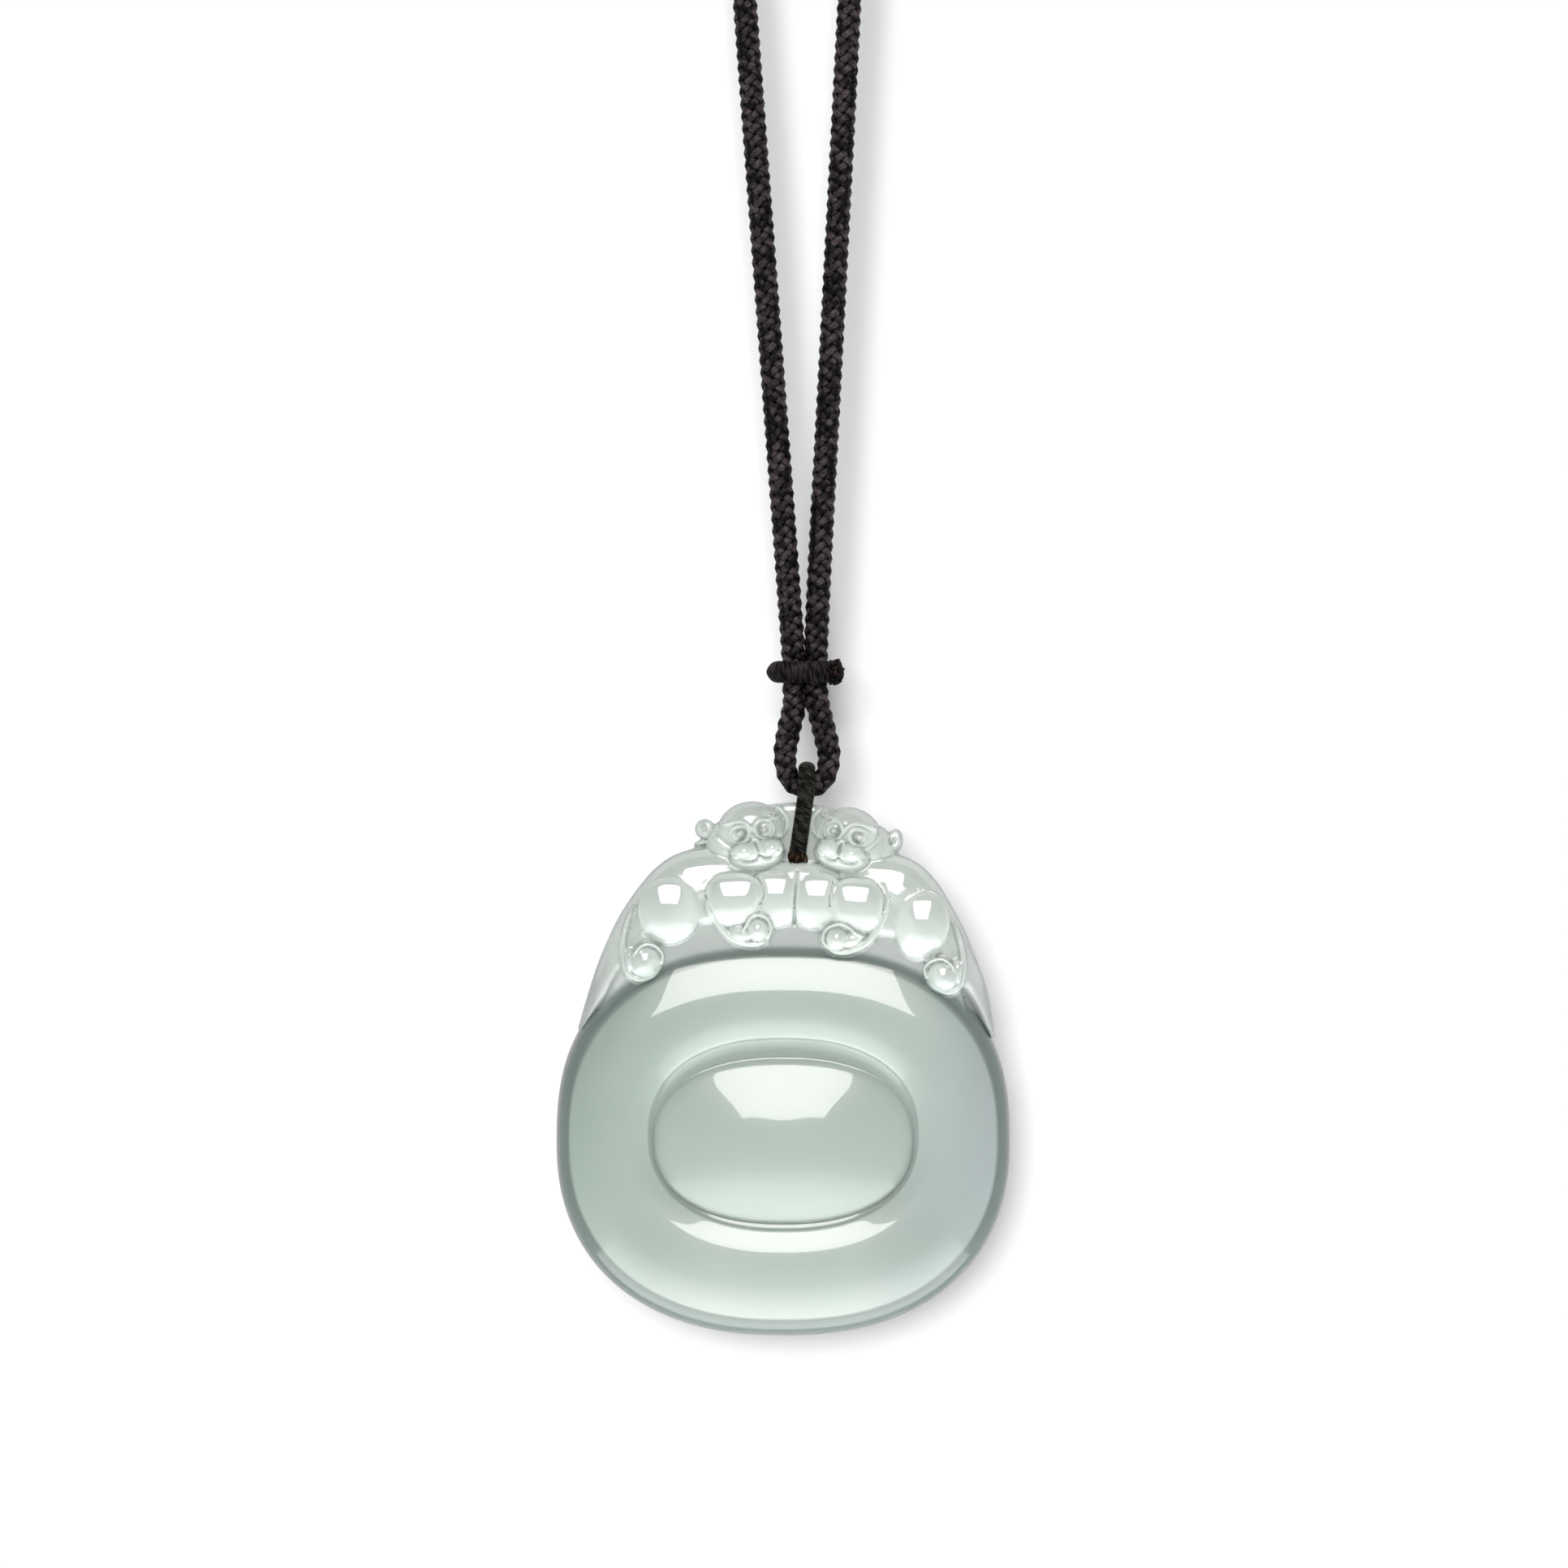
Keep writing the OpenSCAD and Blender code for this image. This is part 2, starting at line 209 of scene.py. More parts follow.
# %% The cord's route
CORD_ROUTE = [
    (0, 1.8), (6.5, 0.5), (12, -3.2), (15.7, -8.7), (17, -15.2),
    (16.2, -32), (11.8, -120), (7.6, -204), (5.42, -245.6), (4.35, -266), (4.13, -272),
    (4.15, -274.4), (4.3, -276.4), (4.97, -279.2), (5.5, -282.2), (4.8, -284.5),
    (3.2, -285.2),
    (1.6, -284.5), (0.95, -282.2), (1.35, -279.2), (1.95, -276.4), (1.88, -274.4),
    (1.83, -272), (1.42, -266), (-0.1, -245.6), (-3.2, -204), (-9.4, -120), (-15.8, -32),
    (-17, -15.2), (-15.7, -8.7), (-12, -3.2), (-6.5, 0.5),
]
PLAIT_PITCH = 5.06

cord_line = smooth_route([(x * MM, 0, z * MM) for x, z in CORD_ROUTE])
cord_length = even_steps(cord_line, 100)[1]
turns = round(cord_length / (PLAIT_PITCH * MM))
print("cord length", round(cord_length / MM, 1), "mm,", turns, "turns of the plait")

# %% [markdown]
# ## Eight carriers
# The cord is a round plait of eight carriers. Four wind to the left and four to the
# right, and each passes over one and under the next. Here each carrier's distance from
# the middle rises and falls four times a turn, and the two lays do it in opposite time.
# So at every eighth of the way round one lay is always on top, and the plait shows
# columns of lozenges that slant to and fro. Above the lowest bend the plait swells a
# little. The stretch near the pendant gets the finer mesh.

# %% Plait
CORD_D = 2.3
CARRIERS_A_LAY = 4
CARRIER_WIDE = 0.49
CARRIER_THICK = 0.27
CARRIER_WAVE = 0.13
SWELL = 0.15
SWELL_FROM = -284.0
SWELL_OVER = 3.5
FINE_BELOW = -196
CORE_SIDES = 8


def cord_stretch(steps_a_turn, fine):
    """Points, headings and turns of the fine stretch of the cord, or of the other."""
    line, _ = even_steps(cord_line, turns * steps_a_turn)
    low = line[:, 2] < FINE_BELOW * MM
    first = int(np.argmax(low != np.roll(low, 1)))
    line, low = np.roll(line, -first, axis=0), np.roll(low, -first)
    phase = np.roll(np.arange(len(line)), -first) / steps_a_turn
    along = unit(np.roll(line, -1, axis=0) - np.roll(line, 1, axis=0))
    keep = low == fine
    return line[keep], along[keep], phase[keep]


def plait(steps_a_turn, sides, fine):
    """The carriers of one stretch of the cord, and a core under them."""
    line, along, phase = cord_stretch(steps_a_turn, fine)
    side = np.array([0.0, 1.0, 0.0])
    out = unit(np.cross(along, side))
    under = CORD_D / 2 - CARRIER_THICK - CARRIER_WAVE
    swell = SWELL * np.clip((line[:, 2] / MM - SWELL_FROM) / SWELL_OVER, 0, 1)
    middle_r = (under + swell) * MM
    core_r = under * MM
    made = []
    for lay in (1, -1):
        for carrier in range(CARRIERS_A_LAY):
            turn = 2 * np.pi * (lay * phase + carrier / CARRIERS_A_LAY)
            spoke = np.cos(turn)[:, None] * side + np.sin(turn)[:, None] * out
            r = middle_r + lay * CARRIER_WAVE * MM * np.cos(CARRIERS_A_LAY * turn)
            made.append(thread_rings(line + spoke * r[:, None], spoke,
                                     CARRIER_WIDE * MM, CARRIER_THICK * MM, sides))
    return made + [thread_rings(line, out, core_r, core_r, CORE_SIDES)]


cord_low = threads_mesh("neck_cord_by_pendant", plait(24, 8, fine=True), False)
cord_high = threads_mesh("neck_cord_by_nape", plait(14, 6, fine=False), False)

# %% [markdown]
# ## Thread wound on a bundle
# The keeper, the bail and the sleeve at the nape are thin thread wound tightly over a
# bundle. A dark core has the shape of the bundle, and the thread is wound on it as a
# screw line with one or more starts. More starts make the wraps slant more, as on the
# bail. The wraps lie a little closer than a thread is wide, so that no core shows.

# %% Winding
WRAP_SPACING = 1.9
WRAP_WIDE = 1.08
WRAP_SIDES = 6
BUNDLE_SIDES = 16
BUNDLE_STEP = 3


def closed_route(route):
    """The closed line through a route's points, as a function of its number of steps."""
    line = smooth_route(np.array(route) * MM)
    return lambda count: even_steps(line, count)


def wound(name, line_of, side, half_side, half_out, thread, starts, steps_a_turn=18,
          closed=True, lay=1):
    """A core along a line, with threads wound round it."""
    length = line_of(2)[1]
    turns_here = max(1, round(length / (starts * WRAP_SPACING * thread)))
    line, _ = line_of(turns_here * steps_a_turn)
    if closed:
        along = unit(np.roll(line, -1, axis=0) - np.roll(line, 1, axis=0))
    else:
        along = unit(np.gradient(line, axis=0))
    side = np.array(side, float)
    out = unit(np.cross(along, side))
    phase = lay * np.arange(len(line)) / steps_a_turn
    made = []
    for start in range(starts):
        turn = 2 * np.pi * (phase + start / starts)
        spoke = (np.cos(turn)[:, None] * side * (half_side - thread)
                 + np.sin(turn)[:, None] * out * (half_out - thread))
        normal = (np.cos(turn)[:, None] * side / half_side
                  + np.sin(turn)[:, None] * out / half_out)
        made.append(thread_rings(line + spoke, unit(normal), thread * WRAP_WIDE, thread,
                                 WRAP_SIDES))
    turn = 2 * np.pi * np.arange(BUNDLE_SIDES) / BUNDLE_SIDES
    core = (line[:, None] + np.cos(turn)[None, :, None] * side * (half_side - thread)
            + np.sin(turn)[None, :, None] * out[:, None] * (half_out - thread))
    return threads_mesh(name, made + [core[::BUNDLE_STEP]], closed)


# %% [markdown]
# ## Keeper
# The keeper is a band of wound thread across both strands, which gathers them above the
# pendant. Seen from above, its line is a racetrack: a half circle round each strand and
# a straight run between them. The real one narrows to a round end at its left, so the
# points there are drawn in towards its middle height.

# %% Keeper
KEEPER = np.array([3, 0, -273.2])
STRAND_APART = 2.4
KEEPER_H = 2.3
KEEPER_T = 1.3
KEEPER_HALF_OUT = 0.7
KEEPER_THREAD = 0.1
CORD_GAP = 0.1
HALF_CIRCLE_STEPS = 8
END_ROUNDING = 1.5
END_SHARE = 0.45

turn_r = CORD_D / 2 + CORD_GAP + KEEPER_T / 2
keeper_route = []
for way in (1, -1):
    for step in range(HALF_CIRCLE_STEPS + 1):
        angle = math.radians(90 - 180 * step / HALF_CIRCLE_STEPS)
        keeper_route.append(KEEPER + way * np.array(
            [STRAND_APART / 2 + turn_r * math.cos(angle), turn_r * math.sin(angle), 0]))
keeper = wound("keeper_wound", closed_route(keeper_route), (0, 0, 1), KEEPER_H / 2 * MM,
               KEEPER_T * KEEPER_HALF_OUT * MM, KEEPER_THREAD * MM, 5, steps_a_turn=40)
left_end = min(v.co.x for v in keeper.data.vertices)
for v in keeper.data.vertices:
    t = min((v.co.x - left_end) / (END_ROUNDING * MM), 1)
    share = END_SHARE + (1 - END_SHARE) * math.sqrt(t * (2 - t))
    v.co.z = KEEPER[2] * MM + (v.co.z - KEEPER[2] * MM) * share
print("keeper's left end is at", round(left_end / MM, 2), "mm")

# %% [markdown]
# ## Bail
# The bail is the wound loop that carries the pendant. It runs over the cord's lowest
# bend, down in front of the jade, through its hole and up behind it. The table gives one
# half of the loop as y and z from the hinge, which is the middle of the cord's bend, and
# the other half mirrors it. The loop leans a little, as it hangs in the photograph.

# %% Bail
HINGE = np.array([3.2, 0, -285.2])
BAIL_HALF = [
    (0, 2.05), (1.45, 1.45), (2.1, 0), (2.5, -1.7), (2.7, -3.6), (2.75, -5.3),
    (2.55, -6.5), (1.75, -7.05), (0, -7.1),
]
BAIL_LEAN = 0.14
BAIL_W = 1.8
BAIL_T = 1.4
BAIL_THREAD = 0.15

bail_loop = [(-y, z) for y, z in BAIL_HALF] + BAIL_HALF[-2:0:-1]
bail_route = [HINGE + np.array([BAIL_LEAN * min(z, 0), y, z]) for y, z in bail_loop]
bail = wound("bail_wound", closed_route(bail_route), (1, 0, 0), BAIL_W / 2 * MM,
             BAIL_T / 2 * MM, BAIL_THREAD * MM, 9, steps_a_turn=44, lay=-1)

# %% [markdown]
# ## Sleeve at the nape
# The cord's two ends have to meet somewhere. The photograph doesn't show where, so a
# plain wound sleeve covers the join at the nape. It follows the loop's top arc.

# %% Sleeve
ARC_R = 17
JOIN_D = 3.6
JOIN_ANGLE = 70
JOIN_THREAD = 0.2


def nape_arc(count):
    """Points along the top arc, and its length."""
    angle = np.radians(np.linspace(90 - JOIN_ANGLE / 2, 90 + JOIN_ANGLE / 2, count))
    middle = JOIN_D / 2 - ARC_R
    line = np.stack([ARC_R * np.cos(angle), 0 * angle, middle + ARC_R * np.sin(angle)], 1)
    return line * MM, ARC_R * math.radians(JOIN_ANGLE) * MM


sleeve = wound("nape_sleeve", nape_arc, (0, 1, 0), JOIN_D / 2 * MM, JOIN_D / 2 * MM,
               JOIN_THREAD * MM, 1, closed=False)

# %% [markdown]
# ## Cut and burnt ends
# The keeper's thread ends at its right in a lump where the maker cut and melted it, and a
# little singed fringe shows where the bail enters the jade. Both are bunches of short
# stubs. Each stub starts at a drawn place and leans a drawn amount, and the draws have a
# fixed seed, so that every run gives the same bunch.

# %% Stubs
STUB_STEPS = 5
STUB_SIDES = 6
STUB_BOW = 0.06
STUB_OUTWARD = np.array([0.31, 0.11, 0.94])

draw = np.random.default_rng(7)


def stubs(name, roots, tips, radius):
    """Short threads from roots to tips, each a little bowed."""
    t = np.linspace(0, 1, STUB_STEPS)[:, None]
    made = []
    for root, tip in zip(roots, tips):
        bow = draw.normal(0, STUB_BOW, 3) * np.sin(np.pi * t)
        middle = root + (tip - root) * t + bow
        made.append(thread_rings(middle * MM, STUB_OUTWARD, radius * MM, radius * MM,
                                 STUB_SIDES))
    return threads_mesh(name, made, False)


# %% [markdown]
# ## Cut ends of the keeper
# The stubs of this lump start all over an egg shape and lie along its surface, as melted
# fibres do. Each starts at a random heading from the middle and ends at a heading a
# little further on.

# %% The keeper's cut ends
END_MIDDLE = KEEPER + np.array([3.1, -0.9, -0.05])
END_HALF = np.array([0.8, 1.75, 1.15])
END_STUBS = 120
END_TURN = 0.8

heading = unit(draw.normal(0, 1, (END_STUBS, 3)))
bend = unit(np.cross(heading, draw.normal(0, 1, (END_STUBS, 3))))
roots = END_MIDDLE + END_HALF * heading
reach = END_HALF * unit(heading + END_TURN * bend) * draw.uniform(0.95, 1.2, (END_STUBS, 1))
keeper_ends = stubs("keeper_cut_ends", roots, END_MIDDLE + reach, radius=0.17)

# %% [markdown]
# ## Singed fringe of the bail
# Where the bail goes into the jade, its thread was cut and touched with a flame. The
# stubs start round the front of the bail, just above the hole, and hang down.

# %% The bail's singed fringe
FRAY_STUBS = 60
FRAY_Z = HINGE[2] - 6.9
FRAY_Y = -2.45
FRAY_HALF = (0.78, 0.75)

turn = draw.uniform(math.radians(195), math.radians(345), FRAY_STUBS)
bail_x = HINGE[0] + BAIL_LEAN * (FRAY_Z - HINGE[2])
roots = np.stack([bail_x + FRAY_HALF[0] * np.cos(turn), FRAY_Y + FRAY_HALF[1] * np.sin(turn),
                  FRAY_Z + draw.uniform(-0.1, 0.25, FRAY_STUBS)], 1)
tips = roots + np.stack([0.15 * np.cos(turn) + draw.normal(0, 0.08, FRAY_STUBS),
                         draw.normal(0, 0.08, FRAY_STUBS),
                         draw.uniform(-0.95, -0.6, FRAY_STUBS)], 1)
bail_fringe = stubs("bail_singed_fringe", roots, tips, radius=0.07)

# %% [markdown]
# ## The oval ring and its dome
# The lower part of the jade is a smooth oval: a dome sits in a recess, a ring runs round
# it, and the ring rolls over a soft rim to a plain back. It could be turned on a lathe
# and stretched, but its ovals have different proportions, so a circle is extruded from
# the dome's middle outwards, row by row, and each new row is laid on an oval of its own.

# %% Oval rows
OVAL_MIDDLE = HINGE + np.array([-2.44, 0, -35.95])
# half width, half height, middle z, depth from the hinge's plane, power of the upper half
OVAL_ROWS = [
    (2.7, 1.7, -0.6, -5.13, 2.2), (5.4, 3.4, -0.6, -4.91, 2.2),
    (8.0, 5.1, -0.6, -4.54, 2.2), (10.7, 6.85, -0.6, -4.02, 2.3),
    (12.3, 7.85, -0.6, -3.63, 2.3), (13.1, 8.35, -0.6, -3.3, 2.3),
    (13.42, 8.55, -0.6, -3.1, 2.3), (13.5, 8.7, -0.45, -3.07, 2.3),
    (13.58, 9.05, -0.12, -3.12, 2.3), (13.68, 9.45, 0.02, -3.22, 2.3),
    (13.78, 9.7, 0.09, -3.32, 2.3), (13.88, 9.86, 0.14, -3.46, 2.3),
    (13.95, 9.94, 0.16, -3.64, 2.3), (14.05, 10.04, 0.17, -3.78, 2.3),
    (14.5, 10.5, 0.2, -3.98, 2.3), (15.8, 11.8, 0.25, -4.34, 2.3),
    (17.7, 13.6, 0.3, -4.5, 2.3), (19.5, 15.5, 0.05, -4.37, 2.35),
    (20.9, 17.1, -0.1, -4.06, 2.4), (22.0, 18.4, -0.2, -3.62, 2.45),
    (22.75, 19.35, -0.3, -3.05, 2.5), (23.2, 19.95, -0.4, -2.2, 2.5),
    (23.45, 20.3, -0.4, -0.7, 2.5), (23.4, 20.25, -0.4, 0.9, 2.5),
    (22.9, 19.7, -0.4, 2.3, 2.5), (21.8, 18.6, -0.4, 3.2, 2.5),
    (20.0, 16.9, -0.4, 3.5, 2.5), (16.0, 13.4, -0.6, 3.62, 2.4),
    (9.0, 7.0, -0.8, 3.68, 2.2), (3.0, 2.3, -0.8, 3.7, 2.1),
]
DOME_TOP = -5.2
BACK = 3.6
LOWER_POWER = 2.3
HALVES_BLEND = 6
OVAL_STEPS = 160
ROWS_BETWEEN = 3


def oval(row, steps):
    """Points of one oval row, squarer where its power is higher."""
    half_w, half_h, mid_z, depth, power = row
    turn = 2 * np.pi * np.arange(steps) / steps
    c, s = np.cos(turn), np.sin(turn)
    blend = 0.5 + 0.5 * np.tanh(s * HALVES_BLEND)
    p = LOWER_POWER + (power - LOWER_POWER) * blend
    x = half_w * np.sign(c) * np.abs(c) ** (2 / p)
    z = mid_z + half_h * np.sign(s) * np.abs(s) ** (2 / p)
    return np.stack([x, np.full(steps, depth), z], 1)


def between_rows(rows, parts):
    """More rows, on a smooth curve through the given ones."""
    rows = np.array(rows, float)
    padded = np.vstack([2 * rows[0] - rows[1], rows, 2 * rows[-1] - rows[-2]])
    made = []
    for i in range(1, len(rows)):
        a, b, c, d = padded[i - 1], padded[i], padded[i + 1], padded[i + 2]
        for t in np.arange(parts) / parts:
            made.append(0.5 * (2 * b + (c - a) * t + (2 * a - 5 * b + 4 * c - d) * t**2
                               + (3 * b - a - 3 * c + d) * t**3))
    return made + [rows[-1]]


all_rows = between_rows(OVAL_ROWS, ROWS_BETWEEN)
print("from", len(OVAL_ROWS), "rows to", len(all_rows))

# %% [markdown]
# ## From a disc to a ring
# The disc is a fan of triangles, and its rim becomes the first row. Extruding the rim
# gives each rim point a partner, which goes to its place on the next row. A single face
# closes the back, and poking it turns it into a fan as at the front.

# %% Oval ring and dome
bpy.ops.object.select_all(action="DESELECT")
bpy.ops.mesh.primitive_circle_add(vertices=OVAL_STEPS, radius=1, fill_type="TRIFAN")
disc = bpy.context.object
disc.name = "jade_disc"
bpy.ops.object.mode_set(mode="EDIT")
edit = bmesh.from_edit_mesh(disc.data)
edit.verts.ensure_lookup_table()
middle = [v for v in edit.verts if len(v.link_edges) > 4][0]
middle.co = (0, DOME_TOP, OVAL_ROWS[0][2])
rim = [v for v in edit.verts if v != middle]
rim.sort(key=lambda v: math.atan2(v.co.y, v.co.x) % (2 * math.pi))
for v, point in zip(rim, oval(all_rows[0], OVAL_STEPS)):
    v.co = point
edges = [e for e in edit.edges if e.is_boundary]
for row in all_rows[1:]:
    new = bmesh.ops.extrude_edge_only(edit, edges=edges)["geom"]
    edges = [g for g in new if isinstance(g, bmesh.types.BMEdge) and g.is_boundary]
    fresh = {g for g in new if isinstance(g, bmesh.types.BMVert)}
    rim = [[e.other_vert(v) for e in v.link_edges if e.other_vert(v) in fresh][0] for v in rim]
    for v, point in zip(rim, oval(row, OVAL_STEPS)):
        v.co = point
cap = bmesh.ops.contextual_create(edit, geom=edges)["faces"]
bmesh.ops.poke(edit, faces=cap)
bmesh.ops.recalc_face_normals(edit, faces=edit.faces)
bmesh.update_edit_mesh(disc.data)
bpy.ops.object.mode_set(mode="OBJECT")
print("oval has", len(disc.data.polygons), "faces")

# %% [markdown]
# ## Two monkeys
# Two crouching monkeys lie back to back on the oval's upper rim. A carver rounds each
# limb out of the stone, so the shapes flow into each other. Here they are built up the
# other way: balls and rolls are laid over thin slabs, a voxel remesh melts them into one
# skin, and a smoothing pass polishes it. All depths count from the hinge's plane, and
# the front is negative. From here to the finished stone, one of Blender's units is one
# millimetre, and zero is the oval's middle.

# %% [markdown]
# ## Slabs behind the monkeys
# The slabs are the plate behind both monkeys, the ledge that they lie on, and the low
# ground between their bodies. Each is an outline of points x and z, with a rounded front
# edge. The plain back leans forward towards the heads, where the stone is thinner.

# %% Slabs
BACK_HIGH = 1.6
LEAN_FROM = 14
LEAN_OVER = 17
EDGE_ANGLES = np.radians([0, 22, 45, 68, 90])


def closed_tube(name, rings):
    """A mesh through rings of points, closed by a face at each end."""
    steps, sides = rings.shape[:2]
    faces = tube_grid(steps, sides, False)[2].tolist()
    faces += [list(range(sides))[::-1], list(range((steps - 1) * sides, steps * sides))]
    piece = add_mesh(name, rings.reshape(-1, 3), faces)
    fix_outward(piece)
    return piece


def back_at(z):
    """The depth of the plain back at a height."""
    return BACK + (BACK_HIGH - BACK) * np.clip((z - LEAN_FROM) / LEAN_OVER, 0, 1)


def add_slab(outline, front, rounding):
    """A flat pad with a rounded front edge."""
    line = smooth_route([(x, 0, z) for x, z in outline], 6)[:, [0, 2]]
    ahead = unit(np.roll(line, -1, axis=0) - np.roll(line, 1, axis=0))
    inward = np.stack([-ahead[:, 1], ahead[:, 0]], 1)
    after = np.roll(line, -1, axis=0)
    if np.sum(line[:, 0] * after[:, 1] - line[:, 1] * after[:, 0]) < 0:
        inward = -inward
    rings = []
    for angle in EDGE_ANGLES:
        at = line + inward * rounding * (1 - math.sin(angle))
        depth = np.full(len(at), front + rounding * (1 - math.cos(angle)))
        rings.append(np.stack([at[:, 0], depth, at[:, 1]], 1))
    rings.append(np.stack([line[:, 0], back_at(line[:, 1]), line[:, 1]], 1))
    return closed_tube("slab", np.array(rings))


PLATE = [
    (-16, 6), (16, 6), (20.3, 12.5), (20.5, 14.5), (20, 17.1), (18.6, 20.3), (17.2, 23.4),
    (16, 25.5), (14.4, 27.4), (12.1, 29), (9.6, 31.4), (7.4, 33.3), (4, 34), (2.6, 34.4),
    (0.8, 34.45), (-0.7, 34.3), (-3.2, 33.9), (-6.2, 32.2), (-8, 30.3), (-10.8, 29.1),
    (-13.3, 27.3), (-15.4, 25), (-16.8, 22.7), (-17.6, 20.2), (-18.9, 17.6),
    (-19.8, 14.8), (-19.6, 13),
]
LEDGE = [
    (-19.2, 9), (-14, 14.5), (-7, 17.4), (0, 18.2), (7, 17.4), (14, 14.2), (19.4, 8.5),
    (18.9, 13), (17.2, 17.3), (14, 20.8), (9, 23.3), (2, 24.5), (-6, 24), (-12, 21.8),
    (-15.6, 19), (-18, 15),
]
BELLY = [
    (-15.2, 21.2), (-14.4, 20.7), (-12.5, 20.6), (-11, 20.9), (-9.6, 21.5), (-8.5, 21.9),
    (-6.9, 21.9), (-4, 22), (-1.2, 22), (1.26, 22.3), (3.95, 21.8), (6, 21.2),
    (8, 20.8), (9.7, 20.7), (11.3, 20.5), (12.7, 19.9), (14.5, 19), (15.8, 18.6), (16.6, 19.4),
    (16, 21), (14, 22.8), (11.2, 25.2), (8.4, 26.4), (5.2, 26.4), (1.2, 25.8), (-2.6, 26.4),
    (-6.8, 26.6), (-10.4, 25.2), (-13.3, 22),
]
parts = [add_slab(PLATE, front=-1.4, rounding=0.8), add_slab(LEDGE, front=-3.3, rounding=0.35),
         add_slab(BELLY, front=-3.9, rounding=0.8)]
print("slabs have", sum(triangles(part) for part in parts), "triangles")

# %% [markdown]
# ## Bodies
# Haunches, knees, chests and the curls of the bands are balls. A carved ball isn't quite
# round: its front is flattened, with a slight curve left in it, which gives the square
# highlights of the polished stone.

# %% Balls
def add_ball(x, z, half_w, half_h, tilt, front, back, square=2, drop_w=0, drop_h=0, corner=2):
    """A stretched ball, turned clockwise by its tilt. A higher square flattens its front,
    the drops curve the front back again to its sides and to its top and bottom, and a
    higher corner makes its outline a rounded box."""
    half_d = (back - front) / 2
    bpy.ops.mesh.primitive_uv_sphere_add(
        segments=64, ring_count=32, radius=1, location=(x, (front + back) / 2, z),
        rotation=(0, math.radians(tilt), 0), scale=(half_w, half_d, half_h))
    ball = bpy.context.object
    if square != 2:
        for v in ball.data.vertices:
            wide, high, deep = abs(v.co.x / half_w), abs(v.co.z / half_h), abs(v.co.y / half_d)
            flat = (wide ** corner + high ** corner) ** (1 / corner)
            v.co /= (deep ** square + flat ** square) ** (1 / square)
            if v.co.y < 0:
                v.co.y += drop_w * (v.co.x / half_w) ** 2 + drop_h * (v.co.z / half_h) ** 2
    return ball


# x, z, half width, half height, tilt, front, back, square, drops, corner
BODY_BALLS = [
    (-11.8, 23.3, 3.25, 3.5, 4, -4.95, -2.7, 5, 0.5, 0.9, 2),
    (-5.05, 24.35, 2.95, 2.85, -3, -4.95, -2.7, 5, 0.28, 0.9, 2.7),
    (-0.9, 24.5, 2.6, 2.95, 0, -4.68, -2.7, 4, 0.3, 0.8, 2.6),
    (14.4, 21.8, 2.85, 3.7, 8, -4.95, -2.7, 5, 0.56, 1.2, 2),
    (7.55, 23.75, 2.75, 2.9, 6, -4.95, -2.7, 5, 0.28, 0.9, 2.7),
    (3.5, 24.3, 2.7, 2.95, 0, -4.68, -2.7, 4, 0.3, 0.8, 2.6),
    (1.2, 25.4, 5.5, 3.0, 0, -4.1, 0, 2),
    (-2.65, 21.25, 1.35, 1.45, 0, -4.85, -1, 2), (5.5, 20.3, 1.45, 1.45, 0, -4.85, -1, 2),
    (-14.3, 17.95, 1.95, 1.95, 0, -4.75, -1, 2), (16.5, 16.45, 1.95, 1.85, 0, -4.75, -1, 2),
    (-4.4, 20.9, 1.5, 1.0, 20, -4.5, -2, 2), (7.1, 20.3, 1.5, 1.0, -20, -4.5, -2, 2),
    (-15.9, 18.0, 0.8, 1.5, 0, -4.3, -2, 2), (18.0, 16.8, 0.8, 1.5, 0, -4.3, -2, 2),
]
parts += [add_ball(*row) for row in BODY_BALLS]
print("now there are", len(parts), "parts")

# %% [markdown]
# ## Backs, tails and bands
# The arched backs run out into the tails, and narrow bands curl round the limbs. Both
# are rolls: a ring of points is set across the line at each step, and smaller rings
# round the ends off.

# %% Rolls
ROLL_SIDES = 20
END_ANGLES = np.radians([8, 30, 60])


def smooth_path(rows, parts=8):
    """An open line with more points, on a smooth curve through the given ones."""
    return np.array(between_rows(rows, parts))


def add_roll(rows, back):
    """A round-ended roll through rows of (x, z, radius, front)."""
    path = smooth_path(rows)
    x, z, r, front = path.T
    line = np.stack([x, z], 1)
    ahead = unit(np.gradient(line, axis=0))
    deep = (back - front) / 2
    ends, caps = np.sin(END_ANGLES), np.cos(END_ANGLES)
    full = np.concatenate([ends, np.ones(len(path) - 2), ends[::-1]])
    first = line[0] - np.outer(caps, ahead[0]) * r[0]
    last = line[-1] + np.outer(caps[::-1], ahead[-1]) * r[-1]
    line = np.vstack([first, line[1:-1], last])
    ahead = np.vstack([np.repeat(ahead[:1], 3, 0), ahead[1:-1], np.repeat(ahead[-1:], 3, 0)])
    wide = np.concatenate([np.repeat(r[:1], 3), r[1:-1], np.repeat(r[-1:], 3)]) * full
    deep = np.concatenate([np.repeat(deep[:1], 3), deep[1:-1], np.repeat(deep[-1:], 3)])
    turn = 2 * np.pi * np.arange(ROLL_SIDES) / ROLL_SIDES
    rings = np.empty((len(line), ROLL_SIDES, 3))
    rings[:, :, 0] = line[:, :1] - ahead[:, 1:] * wide[:, None] * np.cos(turn)
    rings[:, :, 2] = line[:, 1:] + ahead[:, :1] * wide[:, None] * np.cos(turn)
    rings[:, :, 1] = (back - deep)[:, None] + (deep * full)[:, None] * np.sin(turn)
    return closed_tube("roll", rings)


